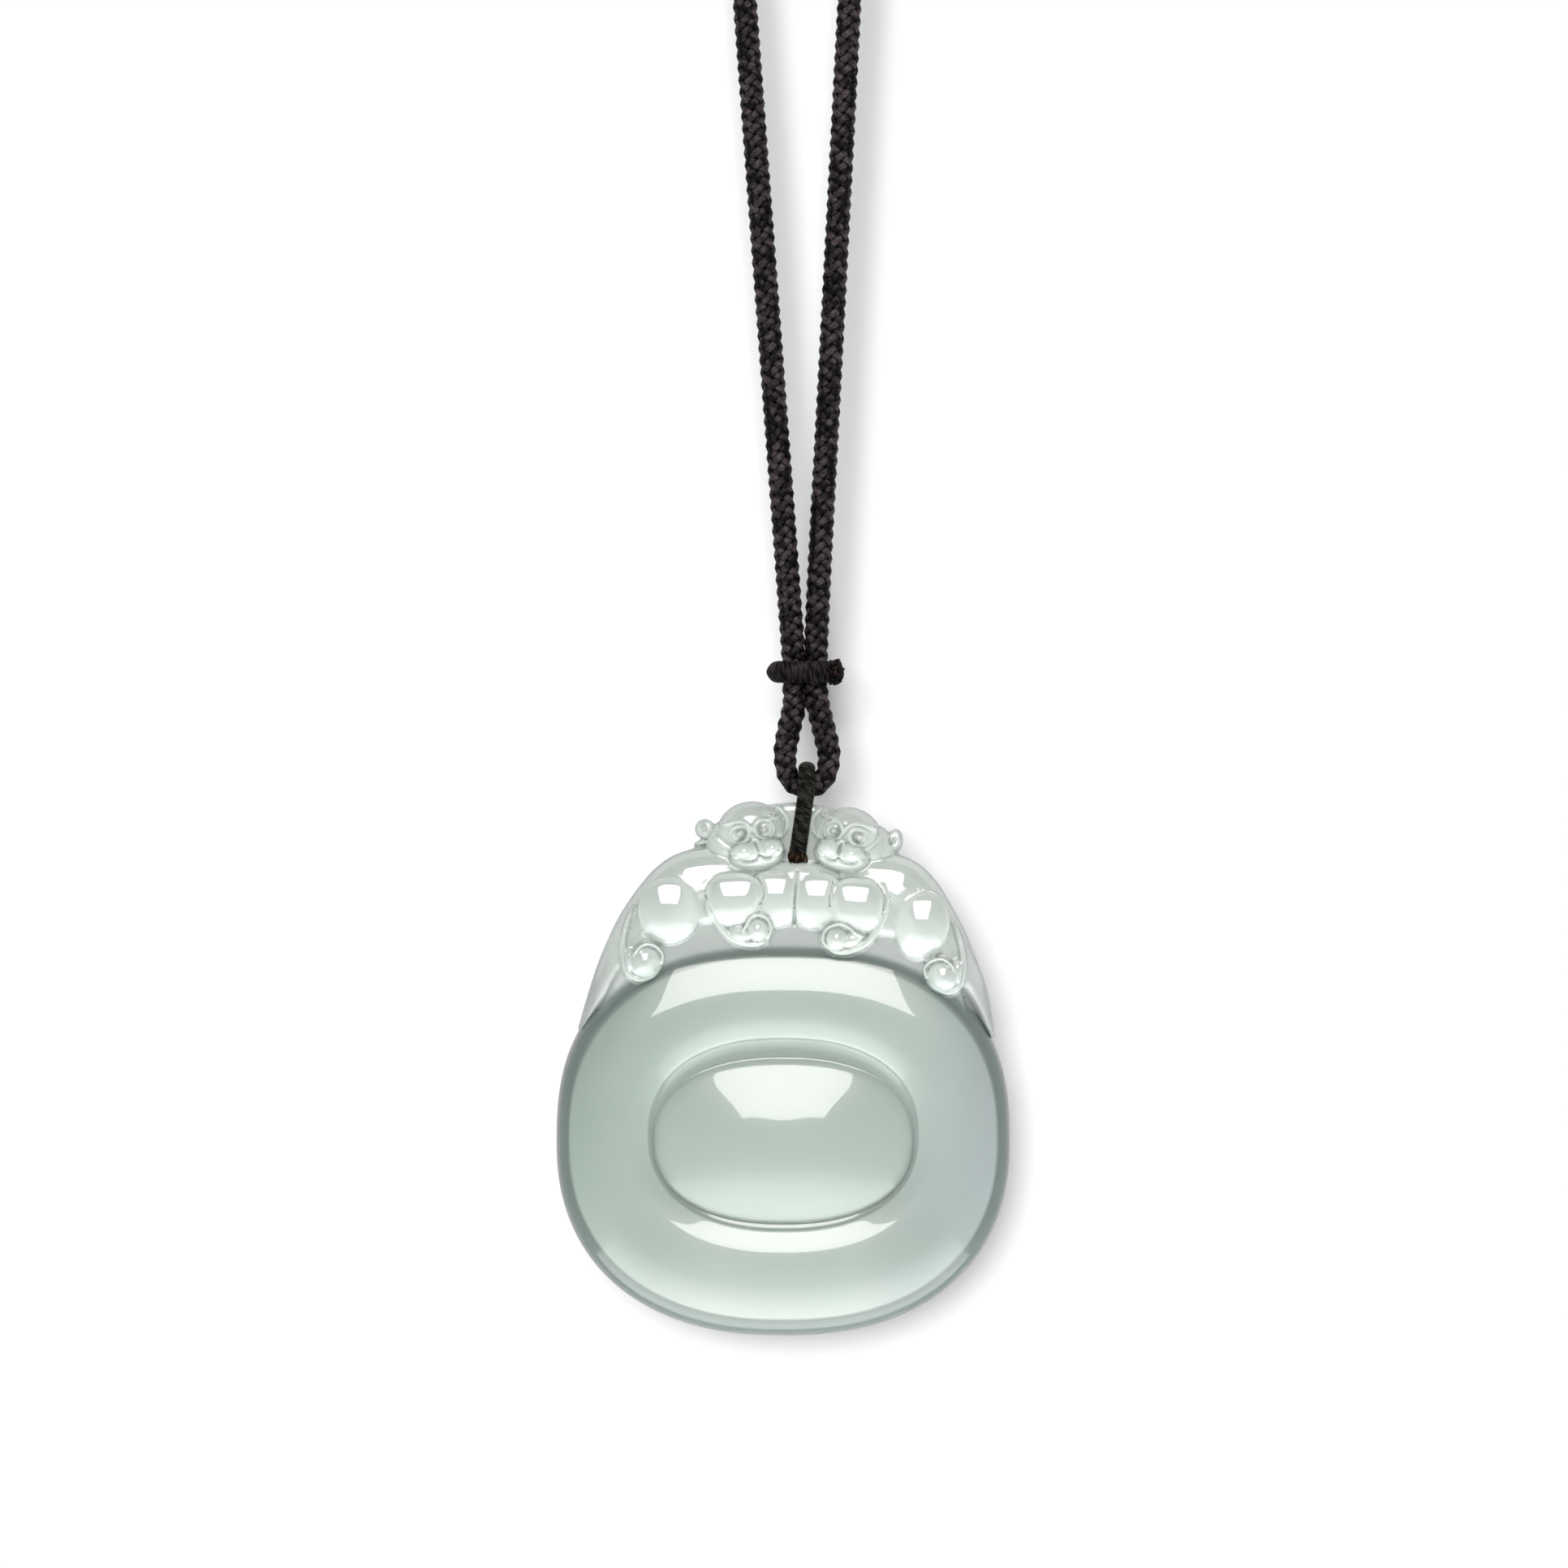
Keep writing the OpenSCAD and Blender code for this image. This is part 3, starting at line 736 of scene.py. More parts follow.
# x, z, radius, front
ROLLS = [
    [(-5.2, 25.3, 4.5, -3.5), (-8.6, 25.1, 4.6, -4), (-10.6, 24.3, 4.3, -4),
     (-13.3, 22, 3.6, -3.9), (-15.4, 19.9, 2.8, -3.6), (-17.5, 17.3, 1.8, -3.3),
     (-19.4, 13.8, 1.05, -2.9), (-20.9, 11.1, 0.35, -2.3)],
    [(8.4, 25, 4.4, -3.6), (11.2, 24.9, 4.2, -4), (13, 23.9, 3.8, -4),
     (14.8, 22.05, 3.2, -3.9), (16.4, 20.1, 2.7, -3.6), (17.7, 18.2, 2.2, -3.4),
     (19.2, 16, 1.6, -3.1), (20.3, 13.9, 1.1, -2.8), (21.6, 10.4, 0.35, -2.2)],
]
ROLL_BACK = 1.9
ARM_BANDS = [
    [(-8.1, 24.8, 0.2, -4.1), (-7.55, 23.4, 0.42, -4.3), (-6.8, 22.1, 0.52, -4.35),
     (-5.9, 20.95, 0.55, -4.35), (-4.95, 20.2, 0.55, -4.35), (-3.9, 19.85, 0.5, -4.35),
     (-2.7, 19.75, 0.4, -4.4), (-1.75, 20.1, 0.3, -4.4)],
    [(-4.5, 20.9, 0.2, -4.5), (-3.9, 21.6, 0.27, -4.8), (-3.4, 22.45, 0.27, -4.9),
     (-2.5, 22.8, 0.27, -4.9), (-1.6, 22.35, 0.27, -4.85), (-1.25, 21.4, 0.27, -4.75),
     (-1.5, 20.5, 0.2, -4.6)],
    [(11.1, 24.8, 0.2, -4.1), (10.75, 23.4, 0.42, -4.3), (10.1, 22, 0.52, -4.35),
     (9.2, 20.6, 0.55, -4.35), (8.1, 19.6, 0.55, -4.35), (6.8, 19.05, 0.5, -4.35),
     (5.5, 18.95, 0.4, -4.4), (4.5, 19.5, 0.3, -4.4)],
    [(8.3, 20.6, 0.2, -4.5), (7.5, 20.9, 0.27, -4.8), (6.6, 21.6, 0.27, -4.9),
     (5.5, 21.85, 0.27, -4.9), (4.4, 21.3, 0.27, -4.85), (4.05, 20.25, 0.27, -4.75),
     (4.4, 19.5, 0.2, -4.6)],
    [(-15.4, 23.9, 0.2, -3.6), (-16.1, 22.1, 0.42, -3.85), (-16.5, 20.3, 0.5, -4),
     (-16.45, 18.5, 0.52, -4.1), (-16.1, 17, 0.5, -4.2), (-15.0, 16.15, 0.45, -4.25),
     (-13.6, 16.5, 0.38, -4.3), (-12.6, 17.5, 0.25, -4.3)],
    [(-15.7, 18.4, 0.2, -4.4), (-15.1, 19.2, 0.27, -4.7), (-14.2, 19.8, 0.27, -4.8),
     (-13.2, 19.6, 0.27, -4.75), (-12.5, 18.8, 0.27, -4.65), (-12.45, 17.9, 0.2, -4.5)],
    [(17.6, 22.1, 0.2, -3.6), (18.2, 20.4, 0.42, -3.85), (18.55, 18.6, 0.5, -4),
     (18.6, 16.9, 0.52, -4.1), (18.2, 15.5, 0.5, -4.2), (17.2, 14.8, 0.45, -4.25),
     (15.9, 15.2, 0.38, -4.3), (14.9, 16.1, 0.25, -4.3)],
    [(17.9, 16.8, 0.2, -4.4), (17.3, 17.7, 0.27, -4.7), (16.4, 18.25, 0.27, -4.8),
     (15.3, 18.05, 0.27, -4.75), (14.6, 17.3, 0.27, -4.65), (14.7, 16.4, 0.2, -4.5)],
]
BAND_BACK = 0.5
parts += [add_roll(rows, ROLL_BACK) for rows in ROLLS]
parts += [add_roll(rows, BAND_BACK) for rows in ARM_BANDS]
print("now there are", len(parts), "parts")

# %% [markdown]
# ## Heads
# Each head is a dozen balls: the skull, the chin, two cheeks, the nose, two sockets with
# an eyeball each, the side of the head and the ear with its lobe.

# %% Heads
# x, z, half width, half height, tilt, front, back
HEAD_BALLS = [
    (-3.4, 31.6, 3.45, 2.95, -10, -4, 1.5), (-2.65, 29.15, 2.95, 1.68, -10, -4.8, 0),
    (-4.08, 29.3, 1.45, 1.05, -10, -5.5, -1), (-1.2, 29.65, 1.35, 1.1, -10, -5.5, -1),
    (-2.95, 30.6, 0.55, 0.4, -10, -5.35, -1), (-4.5, 31.15, 0.95, 0.8, -10, -4.4, -1),
    (-1.95, 31.65, 0.95, 0.85, -10, -4.4, -1), (-4.5, 31.15, 0.42, 0.37, 0, -4.95, -1),
    (-1.95, 31.65, 0.42, 0.37, 0, -4.95, -1), (-5.7, 30.2, 2.3, 2.7, 20, -2.9, 1.3),
    (-8.1, 31.7, 1.05, 1.05, 0, -2.1, 0.9), (-8.5, 30.25, 0.8, 0.3, -15, -1.7, 0.9),
    (6.8, 31, 3.4, 2.95, 13, -4, 1.5), (6, 29.05, 2.95, 1.72, 13, -4.8, 0),
    (4.7, 29.6, 1.35, 1.15, 13, -5.5, -1), (7.1, 29.05, 1.5, 1.08, 13, -5.5, -1),
    (6.05, 30.4, 0.55, 0.4, 13, -5.35, -1), (5.2, 31.5, 0.9, 0.85, 13, -4.4, -1),
    (7.8, 30.85, 0.95, 0.8, 13, -4.4, -1), (5.2, 31.5, 0.42, 0.37, 0, -4.95, -1),
    (7.8, 30.85, 0.42, 0.37, 0, -4.95, -1), (9.3, 29.6, 2.3, 2.7, -20, -2.9, 1.3),
    (11.5, 30.4, 0.9, 1.3, 10, -2.1, 0.9), (11.3, 28.95, 0.8, 0.3, 15, -1.7, 0.9),
]
parts += [add_ball(*row) for row in HEAD_BALLS]
print("the heads have", len(HEAD_BALLS), "balls")

# %% [markdown]
# ## One skin
# A voxel remesh fills the space with small cubes and lays a skin round all that is
# inside, so the parts become one body with no seams. Smoothing takes the stairs out.

# %% One skin
VOXEL = 0.13
bpy.ops.object.select_all(action="DESELECT")
for part in parts:
    part.select_set(True)
bpy.context.view_layer.objects.active = parts[0]
bpy.ops.object.join()
monkeys = bpy.context.object
monkeys.name = "monkeys"
bpy.ops.object.transform_apply(location=True, rotation=True, scale=True)


def apply_modifier(piece, kind, **settings):
    """Adds a modifier, sets it and applies it."""
    bpy.context.view_layer.objects.active = piece
    modifier = piece.modifiers.new(kind.lower(), kind)
    for key, value in settings.items():
        setattr(modifier, key, value)
    bpy.ops.object.modifier_apply(modifier=modifier.name)


apply_modifier(monkeys, "REMESH", mode="VOXEL", voxel_size=VOXEL)
print("remeshed to", len(monkeys.data.polygons), "faces")
apply_modifier(monkeys, "SMOOTH", factor=0.5, iterations=4)

# %% [markdown]
# ## Engraved lines
# The face, the creases and the bands get fine lines. A carver cuts them with a small
# wheel. Here each line is a path over the front. Every point of the skin near the path
# moves in or out along its own normal, most at the path and less to its sides.

# %% The lines
# width and height of the line, then its points: cut lines have a negative height
LINES = [
    (0.17, 0.26, [(-6, 32.1), (-5.1, 32.35), (-4.3, 32.4), (-3.7, 32.1), (-3.35, 31.5),
                  (-3.05, 32.1), (-2.6, 32.5), (-1.8, 32.65), (-1, 32.75), (-0.6, 32.95)]),
    (0.17, 0.26, [(4.2, 33.15), (5, 32.8), (5.75, 32.45), (6.25, 31.6), (6.6, 31.8),
                  (7.2, 32.15), (8.1, 32.1), (9.05, 31.75), (9.5, 31.5)]),
    (0.16, -0.38, [(-5.3, 29), (-4.6, 28.45), (-3.7, 28.2), (-2.85, 28.4), (-2.45, 28.9),
                   (-1.8, 28.6), (-1.05, 28.75), (-0.35, 29.5)]),
    (0.16, -0.38, [(3.65, 29.3), (4.4, 28.55), (5.1, 28.3), (5.65, 28.5), (6.45, 28.05),
                   (7.35, 28), (8.35, 28.55)]),
    (0.14, -0.32, [(-2.9, 30.3), (-2.6, 29.6), (-2.45, 28.9)]),
    (0.14, -0.32, [(6, 30.1), (5.8, 29.3), (5.65, 28.5)]),
    (0.15, 0.18, [(-7.15, 31.05), (-6.45, 30.2), (-5.55, 29.7)]),
    (0.15, 0.18, [(10.1, 31.15), (9.55, 30.35), (8.6, 29.6)]),
    (0.18, -0.2, [(-2.8, 27), (-2.1, 25.7), (-2.05, 24.7), (-2.35, 23.9)]),
    (0.18, -0.2, [(5.2, 26.2), (4.8, 24.8), (4.8, 23.7)]),
    (0.16, -0.25, [(1.45, 27.3), (1.2, 24.4), (1.15, 21.9)]),
    (0.2, 0.3, [(-0.55, 33.9), (0.05, 33.3), (0.4, 32.4), (0.2, 31.6), (-0.4, 31)]),
    (0.2, 0.3, [(4.1, 33.9), (3.5, 33.3), (3, 32.4), (3.2, 31.5), (3.95, 30.7)]),
]
# middle, half sizes, tilt, line width and height
RINGS = [
    (-4.5, 31.15, 1.0, 0.85, -10, 0.13, 0.2), (-1.95, 31.65, 1.0, 0.9, -10, 0.13, 0.2),
    (5.2, 31.5, 0.95, 0.9, 13, 0.13, 0.2), (7.8, 30.85, 1.0, 0.85, 13, 0.13, 0.2),
    (-4.5, 31.15, 0.62, 0.52, -10, 0.12, -0.24), (-1.95, 31.65, 0.62, 0.52, -10, 0.12, -0.24),
    (5.2, 31.5, 0.62, 0.52, 13, 0.12, -0.24), (7.8, 30.85, 0.62, 0.52, 13, 0.12, -0.24),
    (-8.2, 31.75, 0.4, 0.5, 0, 0.25, -0.3), (11.5, 30.6, 0.35, 0.5, 10, 0.25, -0.3),
    (-6.15, 32.25, 0.25, 0.25, 0, 0.12, 0.14), (-1.25, 33.2, 0.22, 0.22, 0, 0.12, 0.14),
    (4.35, 33.25, 0.22, 0.22, 0, 0.12, 0.14), (9.4, 31.95, 0.25, 0.25, 0, 0.12, 0.14),
]
BAND_LINE = (0.14, -0.16)


def circle_path(x, z, half_w, half_h, tilt):
    """Points round an oval, turned clockwise by its tilt."""
    a = np.radians(np.linspace(0, 360, 25))
    t = math.radians(tilt)
    u, v = half_w * np.cos(a), half_h * np.sin(a)
    return np.stack([x + u * math.cos(t) + v * math.sin(t),
                     z - u * math.sin(t) + v * math.cos(t)], 1)


paths = [(width, height, smooth_path(points, 6)) for width, height, points in LINES]
paths += [(*row[5:], circle_path(*row[:5])) for row in RINGS]
paths += [(*BAND_LINE, smooth_path([row[:2] for row in rows], 6)) for rows in ARM_BANDS[::2]]
print("there are", len(paths), "lines to engrave")

# %% [markdown]
# ## Moving the skin
# The lines are flat, so a point's distance from one is measured from the front. Only
# points that face the front move, and the move fades out over the line's width like a
# bell curve. That gives a soft groove or ridge, as a polished stone has.

# %% Engraving
FACING_FROM = 0.1
FACING_OVER = 0.3
FRONT_HALF = -0.3
REACH = 4


def distance_to(points, path):
    """Distance of each point from a line of straight pieces."""
    best = np.full(len(points), 1e9)
    for a, b in zip(path[:-1], path[1:]):
        along = b - a
        t = np.clip((points - a) @ along / max(along @ along, 1e-9), 0, 1)
        best = np.minimum(best, np.linalg.norm(points - a - t[:, None] * along, axis=1))
    return best


def engrave(piece, paths):
    """Moves the front's points near the paths in or out along their normals."""
    count = len(piece.data.vertices)
    place = np.empty(count * 3, np.float32)
    normal = np.empty(count * 3, np.float32)
    piece.data.vertices.foreach_get("co", place)
    piece.data.vertices.foreach_get("normal", normal)
    place, normal = place.reshape(-1, 3).astype(float), normal.reshape(-1, 3).astype(float)
    front = np.clip((-normal[:, 1] - FACING_FROM) / FACING_OVER, 0, 1)
    front *= place[:, 1] < FRONT_HALF
    flat = place[:, [0, 2]]
    move = np.zeros(count)
    for width, height, path in paths:
        low, high = path.min(0) - REACH * width, path.max(0) + REACH * width
        near = np.all((flat > low) & (flat < high), axis=1) & (front > 0)
        move[near] += height * np.exp(-(distance_to(flat[near], path) / width) ** 2)
    place += normal * (move * front)[:, None]
    piece.data.vertices.foreach_set("co", place.astype(np.float32).ravel())
    piece.data.update()
    print("deepest cut", round(-move.min(), 2), "mm")


engrave(monkeys, paths)

# %% [markdown]
# ## One stone
# The skin has far more faces than its shape needs, so it is decimated first. A union
# then joins it to the oval, and a difference drills the hole for the bail. Each of the
# two comes with a temporary material, so the seam between them can be found and marked
# sharp later.

# %% One stone
TRIANGLES_WANTED = 150000
HOLE = HINGE + np.array([-0.99, 0, -6.87])
HOLE_D = 1.95
DRILL_LENGTH = 20

ratio = TRIANGLES_WANTED / (2 * len(monkeys.data.polygons))
apply_modifier(monkeys, "DECIMATE", ratio=min(1, ratio))
apply_modifier(monkeys, "SMOOTH", factor=0.3, iterations=1)
skins = [bpy.data.materials.new(name) for name in ("from_disc", "from_monkeys")]
for skin, piece in zip(skins, (disc, monkeys)):
    piece.data.materials.append(skin)
apply_modifier(disc, "BOOLEAN", operation="UNION", object=monkeys, solver="MANIFOLD",
               material_mode="TRANSFER")
bpy.data.objects.remove(monkeys)
bpy.ops.mesh.primitive_cylinder_add(vertices=48, radius=HOLE_D / 2, depth=DRILL_LENGTH,
                                    location=HOLE - OVAL_MIDDLE,
                                    rotation=(math.radians(90), 0, 0))
drill = bpy.context.object
apply_modifier(disc, "BOOLEAN", operation="DIFFERENCE", object=drill, solver="MANIFOLD")
bpy.data.objects.remove(drill)
print("jade has", triangles(disc), "triangles")

# %% [markdown]
# ## The stone in its place
# So far the stone was modelled in millimetres round the oval's middle. Its mesh is now
# scaled to metres and moved, while its object stays at the origin. Weighted normals keep
# the big smooth faces free of ripples along the seam.

# %% The stone in its place
disc.name = "jade_carving"
disc.data.transform(Matrix.Translation(Vector(OVAL_MIDDLE) * MM) @ Matrix.Scale(MM, 4))
disc.data.shade_smooth()
edit = bmesh.new()
edit.from_mesh(disc.data)
seam = [e for e in edit.edges if len({f.material_index for f in e.link_faces}) == 2]
for edge in seam:
    edge.smooth = False
edit.to_mesh(disc.data)
edit.free()
apply_modifier(disc, "WEIGHTED_NORMAL", mode="FACE_AREA", keep_sharp=True)
print("the seam between oval and monkeys has", len(seam), "edges")

# %% [markdown]
# ## Writing materials as sums
# A material is a tree of nodes. Nodes are slow to place by hand and hard to read in
# code, so two small classes help. Nodes holds one tree and adds any node to it. Socket
# is a node's output, and a sum of sockets adds the Math nodes for it, so that a mask can
# be written as 1 - other. A Mix node keeps a set of sockets for each type of value, and
# those for colours are numbers 6 and 7, with result 2.

# %% Shader words
class Socket:
    """A node's output, on which sums can be written."""

    def __init__(self, nodes, out):
        self.nodes, self.out = nodes, out

    def maths(self, operation, *values):
        """A Math node on these values."""
        return self.nodes.node("Math", {"operation": operation}, dict(enumerate(values)))

    def __add__(self, other):
        return self.maths("ADD", self, other)

    def __sub__(self, other):
        return self.maths("SUBTRACT", self, other)

    def __rsub__(self, other):
        return self.maths("SUBTRACT", other, self)

    def __mul__(self, other):
        return self.maths("MULTIPLY", self, other)

    def __truediv__(self, number):
        return self * (1 / number)

    def __pow__(self, power):
        return self.maths("POWER", self, power)

    def __abs__(self):
        return self.maths("ABSOLUTE", self)

    __radd__, __rmul__ = __add__, __mul__


class Nodes:
    """The emptied node tree of a material, a lamp or a world, to which nodes are added."""

    def __init__(self, owner):
        owner.use_nodes = True
        self.tree = owner.node_tree
        self.tree.nodes.clear()

    def node(self, kind, settings=None, values=None, out=0):
        """Adds a node: its settings first, then the values or links of its sockets."""
        node = self.tree.nodes.new("ShaderNode" + kind)
        for key, value in (settings or {}).items():
            if key == "stops":
                ramp = node.color_ramp
                while len(ramp.elements) < len(value):
                    ramp.elements.new(0.5)
                for element, (at, colour) in zip(ramp.elements, value):
                    element.position, element.color = at, colour
            else:
                setattr(node, key, value)
        for key, value in (values or {}).items():
            if isinstance(value, Socket):
                self.tree.links.new(value.out, node.inputs[key])
            else:
                node.inputs[key].default_value = value
        return Socket(self, node.outputs[out])

    def done(self, kind, surface):
        """Gives the surface to the tree's output node, and counts the nodes."""
        output = self.tree.nodes.new("ShaderNodeOutput" + kind)
        self.tree.links.new(surface.out, output.inputs["Surface"])
        print("the tree has", len(self.tree.nodes), "nodes")


# %% [markdown]
# ## Icy jade
# Pale jade lets light in a little way and gives it back softened, so it is made of two
# surfaces. The thick disc is milky: most light scatters just under the skin. The thin
# figures are glassier. A mask on the oval's own equation fades one into the other, and
# other masks of that kind pick out the groove round the dome and the ledge, where shade
# is painted. The polish is a clear coat over both.

# %% Masks on the jade
CLOUD_REACH = 14

jade = bpy.data.materials.new("jade")
stone = Nodes(jade)
place = stone.node("TexCoord", out="Object")
in_mm = stone.node("VectorMath", {"operation": "SCALE"}, {0: place, "Scale": 1 / MM})
centred = stone.node("VectorMath", {"operation": "SUBTRACT"}, {0: in_mm, 1: tuple(OVAL_MIDDLE)})
x, y, z = [stone.node("SeparateXYZ", values={0: centred}, out=axis) for axis in "XYZ"]
cloud = stone.node("TexNoise", values={"Vector": centred, "Scale": 0.06, "Detail": 3.0,
                                       "Roughness": 0.5})
drift = (cloud - 0.5) * CLOUD_REACH


def fade(value, start, end):
    """A mask that grows from 0 to 1 as the value goes from start to end."""
    return stone.node("MapRange", {"interpolation_type": "SMOOTHSTEP"},
                      {"Value": value, "From Min": start, "From Max": end})


def tint(under, over, share):
    """A share of one colour over another."""
    return stone.node("Mix", {"data_type": "RGBA"}, {0: share, 6: under, 7: over}, out=2)


def oval_share(half_w, half_h, mid_z, power=2.3):
    """Less than 1 inside an oval of the front, and more outside it."""
    return abs(x / half_w) ** power + abs((z - mid_z) / half_h) ** power


# each oval's half width, half height and middle height in millimetres
# These masks mark where shade is painted: the groove round the dome and the ledge.
groove_shade = fade(oval_share(13.3, 8.5, -0.6), 0.95, 1.02)
groove_shade = groove_shade * (1 - fade(oval_share(13.95, 9.9, 0.15), 0.96, 1.02))
ledge_shade = fade(oval_share(22.3, 18.9, -0.25), 0.96, 1.0) * fade(y, -3.9, -3.4)
ledge_shade = ledge_shade * (1 - fade(oval_share(24.5, 22.2, -0.25), 0.95, 1.2))
print("the masks take", len(stone.tree.nodes), "nodes")

# %% [markdown]
# ## Tones of the stone, and painted light and shade
# No piece of jade is one colour. This one is bluish to the right, with faint clouds in it.
# Light and shade are painted over that tone: a darker, greener shade to the upper left, a
# paler glow towards the bottom and shade again in the lower corners. Shade is painted too
# in the groove round the dome, on the ledge and in the hollows of the carving, where less
# light comes back. The surface's own curvature finds those hollows.

# %% Tones
# Besides the base tone, the bluish tone to the right and the clear tone of the figures, these
# colours are painted shade and a painted glow.
TONE = (0.375, 0.45, 0.405, 1)
UPPER_LEFT_SHADE = (0.29, 0.37, 0.33, 1)
LOW_GLOW = (0.42, 0.48, 0.44, 1)
RIGHT = (0.34, 0.39, 0.4, 1)
LOWER_CORNER_SHADE = (0.3, 0.36, 0.32, 1)
GROOVE_AND_LEDGE_SHADE = (0.15, 0.2, 0.18, 1)
LEDGE_DEEP_SHADE = (0.05, 0.08, 0.07, 1)
CLEAR = (0.9, 0.94, 0.91, 1)
HOLLOW_SHADE = (0.2, 0.26, 0.23, 1)

# Painted shade to the upper left, a painted glow towards the bottom, the stone's bluish tone to
# the right, and painted shade in the lower corners.
tone_and_painted_light = tint(TONE, UPPER_LEFT_SHADE, fade(z * 0.35 - x + drift, 6, 26))
tone_and_painted_light = tint(tone_and_painted_light, LOW_GLOW, fade(drift - z, 4, 21))
tone_and_painted_light = tint(tone_and_painted_light, RIGHT, fade(x - z * 0.25 + drift, 9, 24) * 0.8)
tone_and_painted_light = tint(tone_and_painted_light, LOWER_CORNER_SHADE, fade(abs(x), 6, 16) * fade(0 - z, 4, 13) * 0.6)
# Painted shade in the groove round the dome and, darker, on the ledge.
tone_and_painted_light = tint(tone_and_painted_light, GROOVE_AND_LEDGE_SHADE, groove_shade * 0.15 + ledge_shade * 0.85)
tone_and_painted_light = tint(tone_and_painted_light, LEDGE_DEEP_SHADE, ledge_shade * 0.35)
# Painted shade in the hollows of the carving, found by the surface's curvature.
hollow_shade = fade(0.5 - stone.node("NewGeometry", out="Pointiness"), 0.005, 0.06)
clear = tint(tint(tone_and_painted_light, CLEAR, 0.55), HOLLOW_SHADE, hollow_shade * 0.75)
print("the tones bring it to", len(stone.tree.nodes), "nodes")

# %% [markdown]
# ## Milky and glassy
# Both surfaces scatter light under the skin and let some of it through. The milky one
# scatters it further and is rougher beneath its coat. The small radius of the glassy one
# keeps the carving crisp.

# %% Two surfaces
common = {"IOR": 1.6, "Coat Weight": 1.0, "Coat Roughness": 0.02, "Coat IOR": 1.6,
          "Subsurface Weight": 1.0, "Subsurface Radius": (1.0, 1.0, 1.0)}
milky = stone.node("BsdfPrincipled", values={
    **common, "Base Color": tone_and_painted_light, "Roughness": 0.28, "Subsurface Scale": 0.003,
    "Transmission Weight": 0.3})
glassy = stone.node("BsdfPrincipled", values={
    **common, "Base Color": clear, "Roughness": 0.08, "Subsurface Scale": 0.0008,
    "Transmission Weight": 0.5})
far = oval_share(23.45, 19.9, -0.8, power=2.4)
stone.done("Material", stone.node("MixShader", values={0: fade(far, 1.0, 1.1), 1: milky,
                                                       2: glassy}))
disc.data.materials.clear()
disc.data.materials.append(jade)
for face in disc.data.polygons:
    face.material_index = 0
for skin in skins:
    bpy.data.materials.remove(skin)

# %% [markdown]
# ## Thread
# Polyester thread is a bundle of fine fibres. Noise that is stretched along the thread's
# UV map gives their streaks, which tint the thread and raise it a little. Light and shade
# are painted into the colour: one mask paints the top of each thread lit and its sides
# dark, and another paints patches of it dark, where no sheen would show. The neck cord is
# black with a faint purple cast, the bail is a greener black, and the burnt ends keep the
# golden and reddish browns of melted fibre.

# %% Thread
PAINTED_SHADE_LEVEL = 0.06
FIBRE_STRETCH = (1.2, 14.0, 1.0)


def thread_material(name, dark, light, bump, roughness):
    """Thread with dark and light fibres, painted light and shade, and a bump of so many metres.
    """
    material = bpy.data.materials.new(name)
    fibres = Nodes(material)
    uv = fibres.node("UVMap", {"uv_map": "thread"})
    stretched = fibres.node("Mapping", values={"Vector": uv, "Scale": FIBRE_STRETCH})
    fibre = fibres.node("TexNoise", values={"Vector": stretched, "Scale": 2.0, "Detail": 4.0,
                                            "Roughness": 0.6})
    streaks = fibres.node("ValToRGB", {"stops": [(0.35, dark), (0.7, light)]}, {"Fac": fibre})
    # Painted light: the top of each thread is painted lit and its sides dark, and noise paints
    # patches of it dark.
    around = fibres.node("SeparateXYZ", values={0: uv}, out="Y") * (2 * math.pi)
    painted_top_light = fibres.node("MapRange", {"interpolation_type": "SMOOTHSTEP"},
                      {"Value": around.maths("SINE", around), "From Min": 0.5,
                       "From Max": 1.0, "To Min": PAINTED_SHADE_LEVEL})
    painted_sheen_patch = fibres.node("TexNoise", {"noise_dimensions": "2D"},
                        {"Vector": uv, "Scale": 0.9, "Detail": 1.0})
    lit = painted_top_light * fibres.node("MapRange", values={"Value": painted_sheen_patch, "From Min": 0.4,
                                                "From Max": 0.62, "To Min": PAINTED_SHADE_LEVEL})
    colour = fibres.node("Mix", {"data_type": "RGBA"}, {0: lit, 6: (0, 0, 0, 1), 7: streaks},
                         out=2)
    relief = fibres.node("Bump", values={"Strength": 0.6, "Distance": bump, "Height": fibre})
    fibres.done("Material", fibres.node("BsdfPrincipled", values={
        "Base Color": colour, "Roughness": roughness, "Normal": relief,
        "Specular IOR Level": 0.12}))
    return material


# dark and light fibres, bump in metres, roughness, and the pieces
for name, dark, light, bump, roughness, pieces in [
    ("cord_silk", (0.005, 0.004, 0.0045, 1), (0.19, 0.15, 0.165, 1), 0.00006, 0.4,
     [cord_low, cord_high]),
    ("wound_silk", (0.004, 0.0034, 0.0036, 1), (0.13, 0.105, 0.115, 1), 0.00005, 0.4,
     [keeper, sleeve]),
    ("bail_silk", (0.003, 0.0032, 0.0026, 1), (0.12, 0.125, 0.09, 1), 0.00005, 0.33,
     [bail]),
    ("burnt_silk", (0.006, 0.004, 0.004, 1), (0.15, 0.08, 0.07, 1), 0.00005, 0.4,
     [keeper_ends]),
    ("singed_silk", (0.04, 0.02, 0.008, 1), (0.65, 0.36, 0.13, 1), 0.00005, 0.5,
     [bail_fringe]),
]:
    silk = thread_material(name, dark, light, bump, roughness)
    for piece in pieces:
        piece.data.materials.append(silk)

# %% [markdown]
# ## What moves with what
# The imported part has two bodies: the cord, and the pendant that swings on it. Every piece
# rides on one of them and stands for a plain solid, which is hidden. The slot named beside
# it is not used.

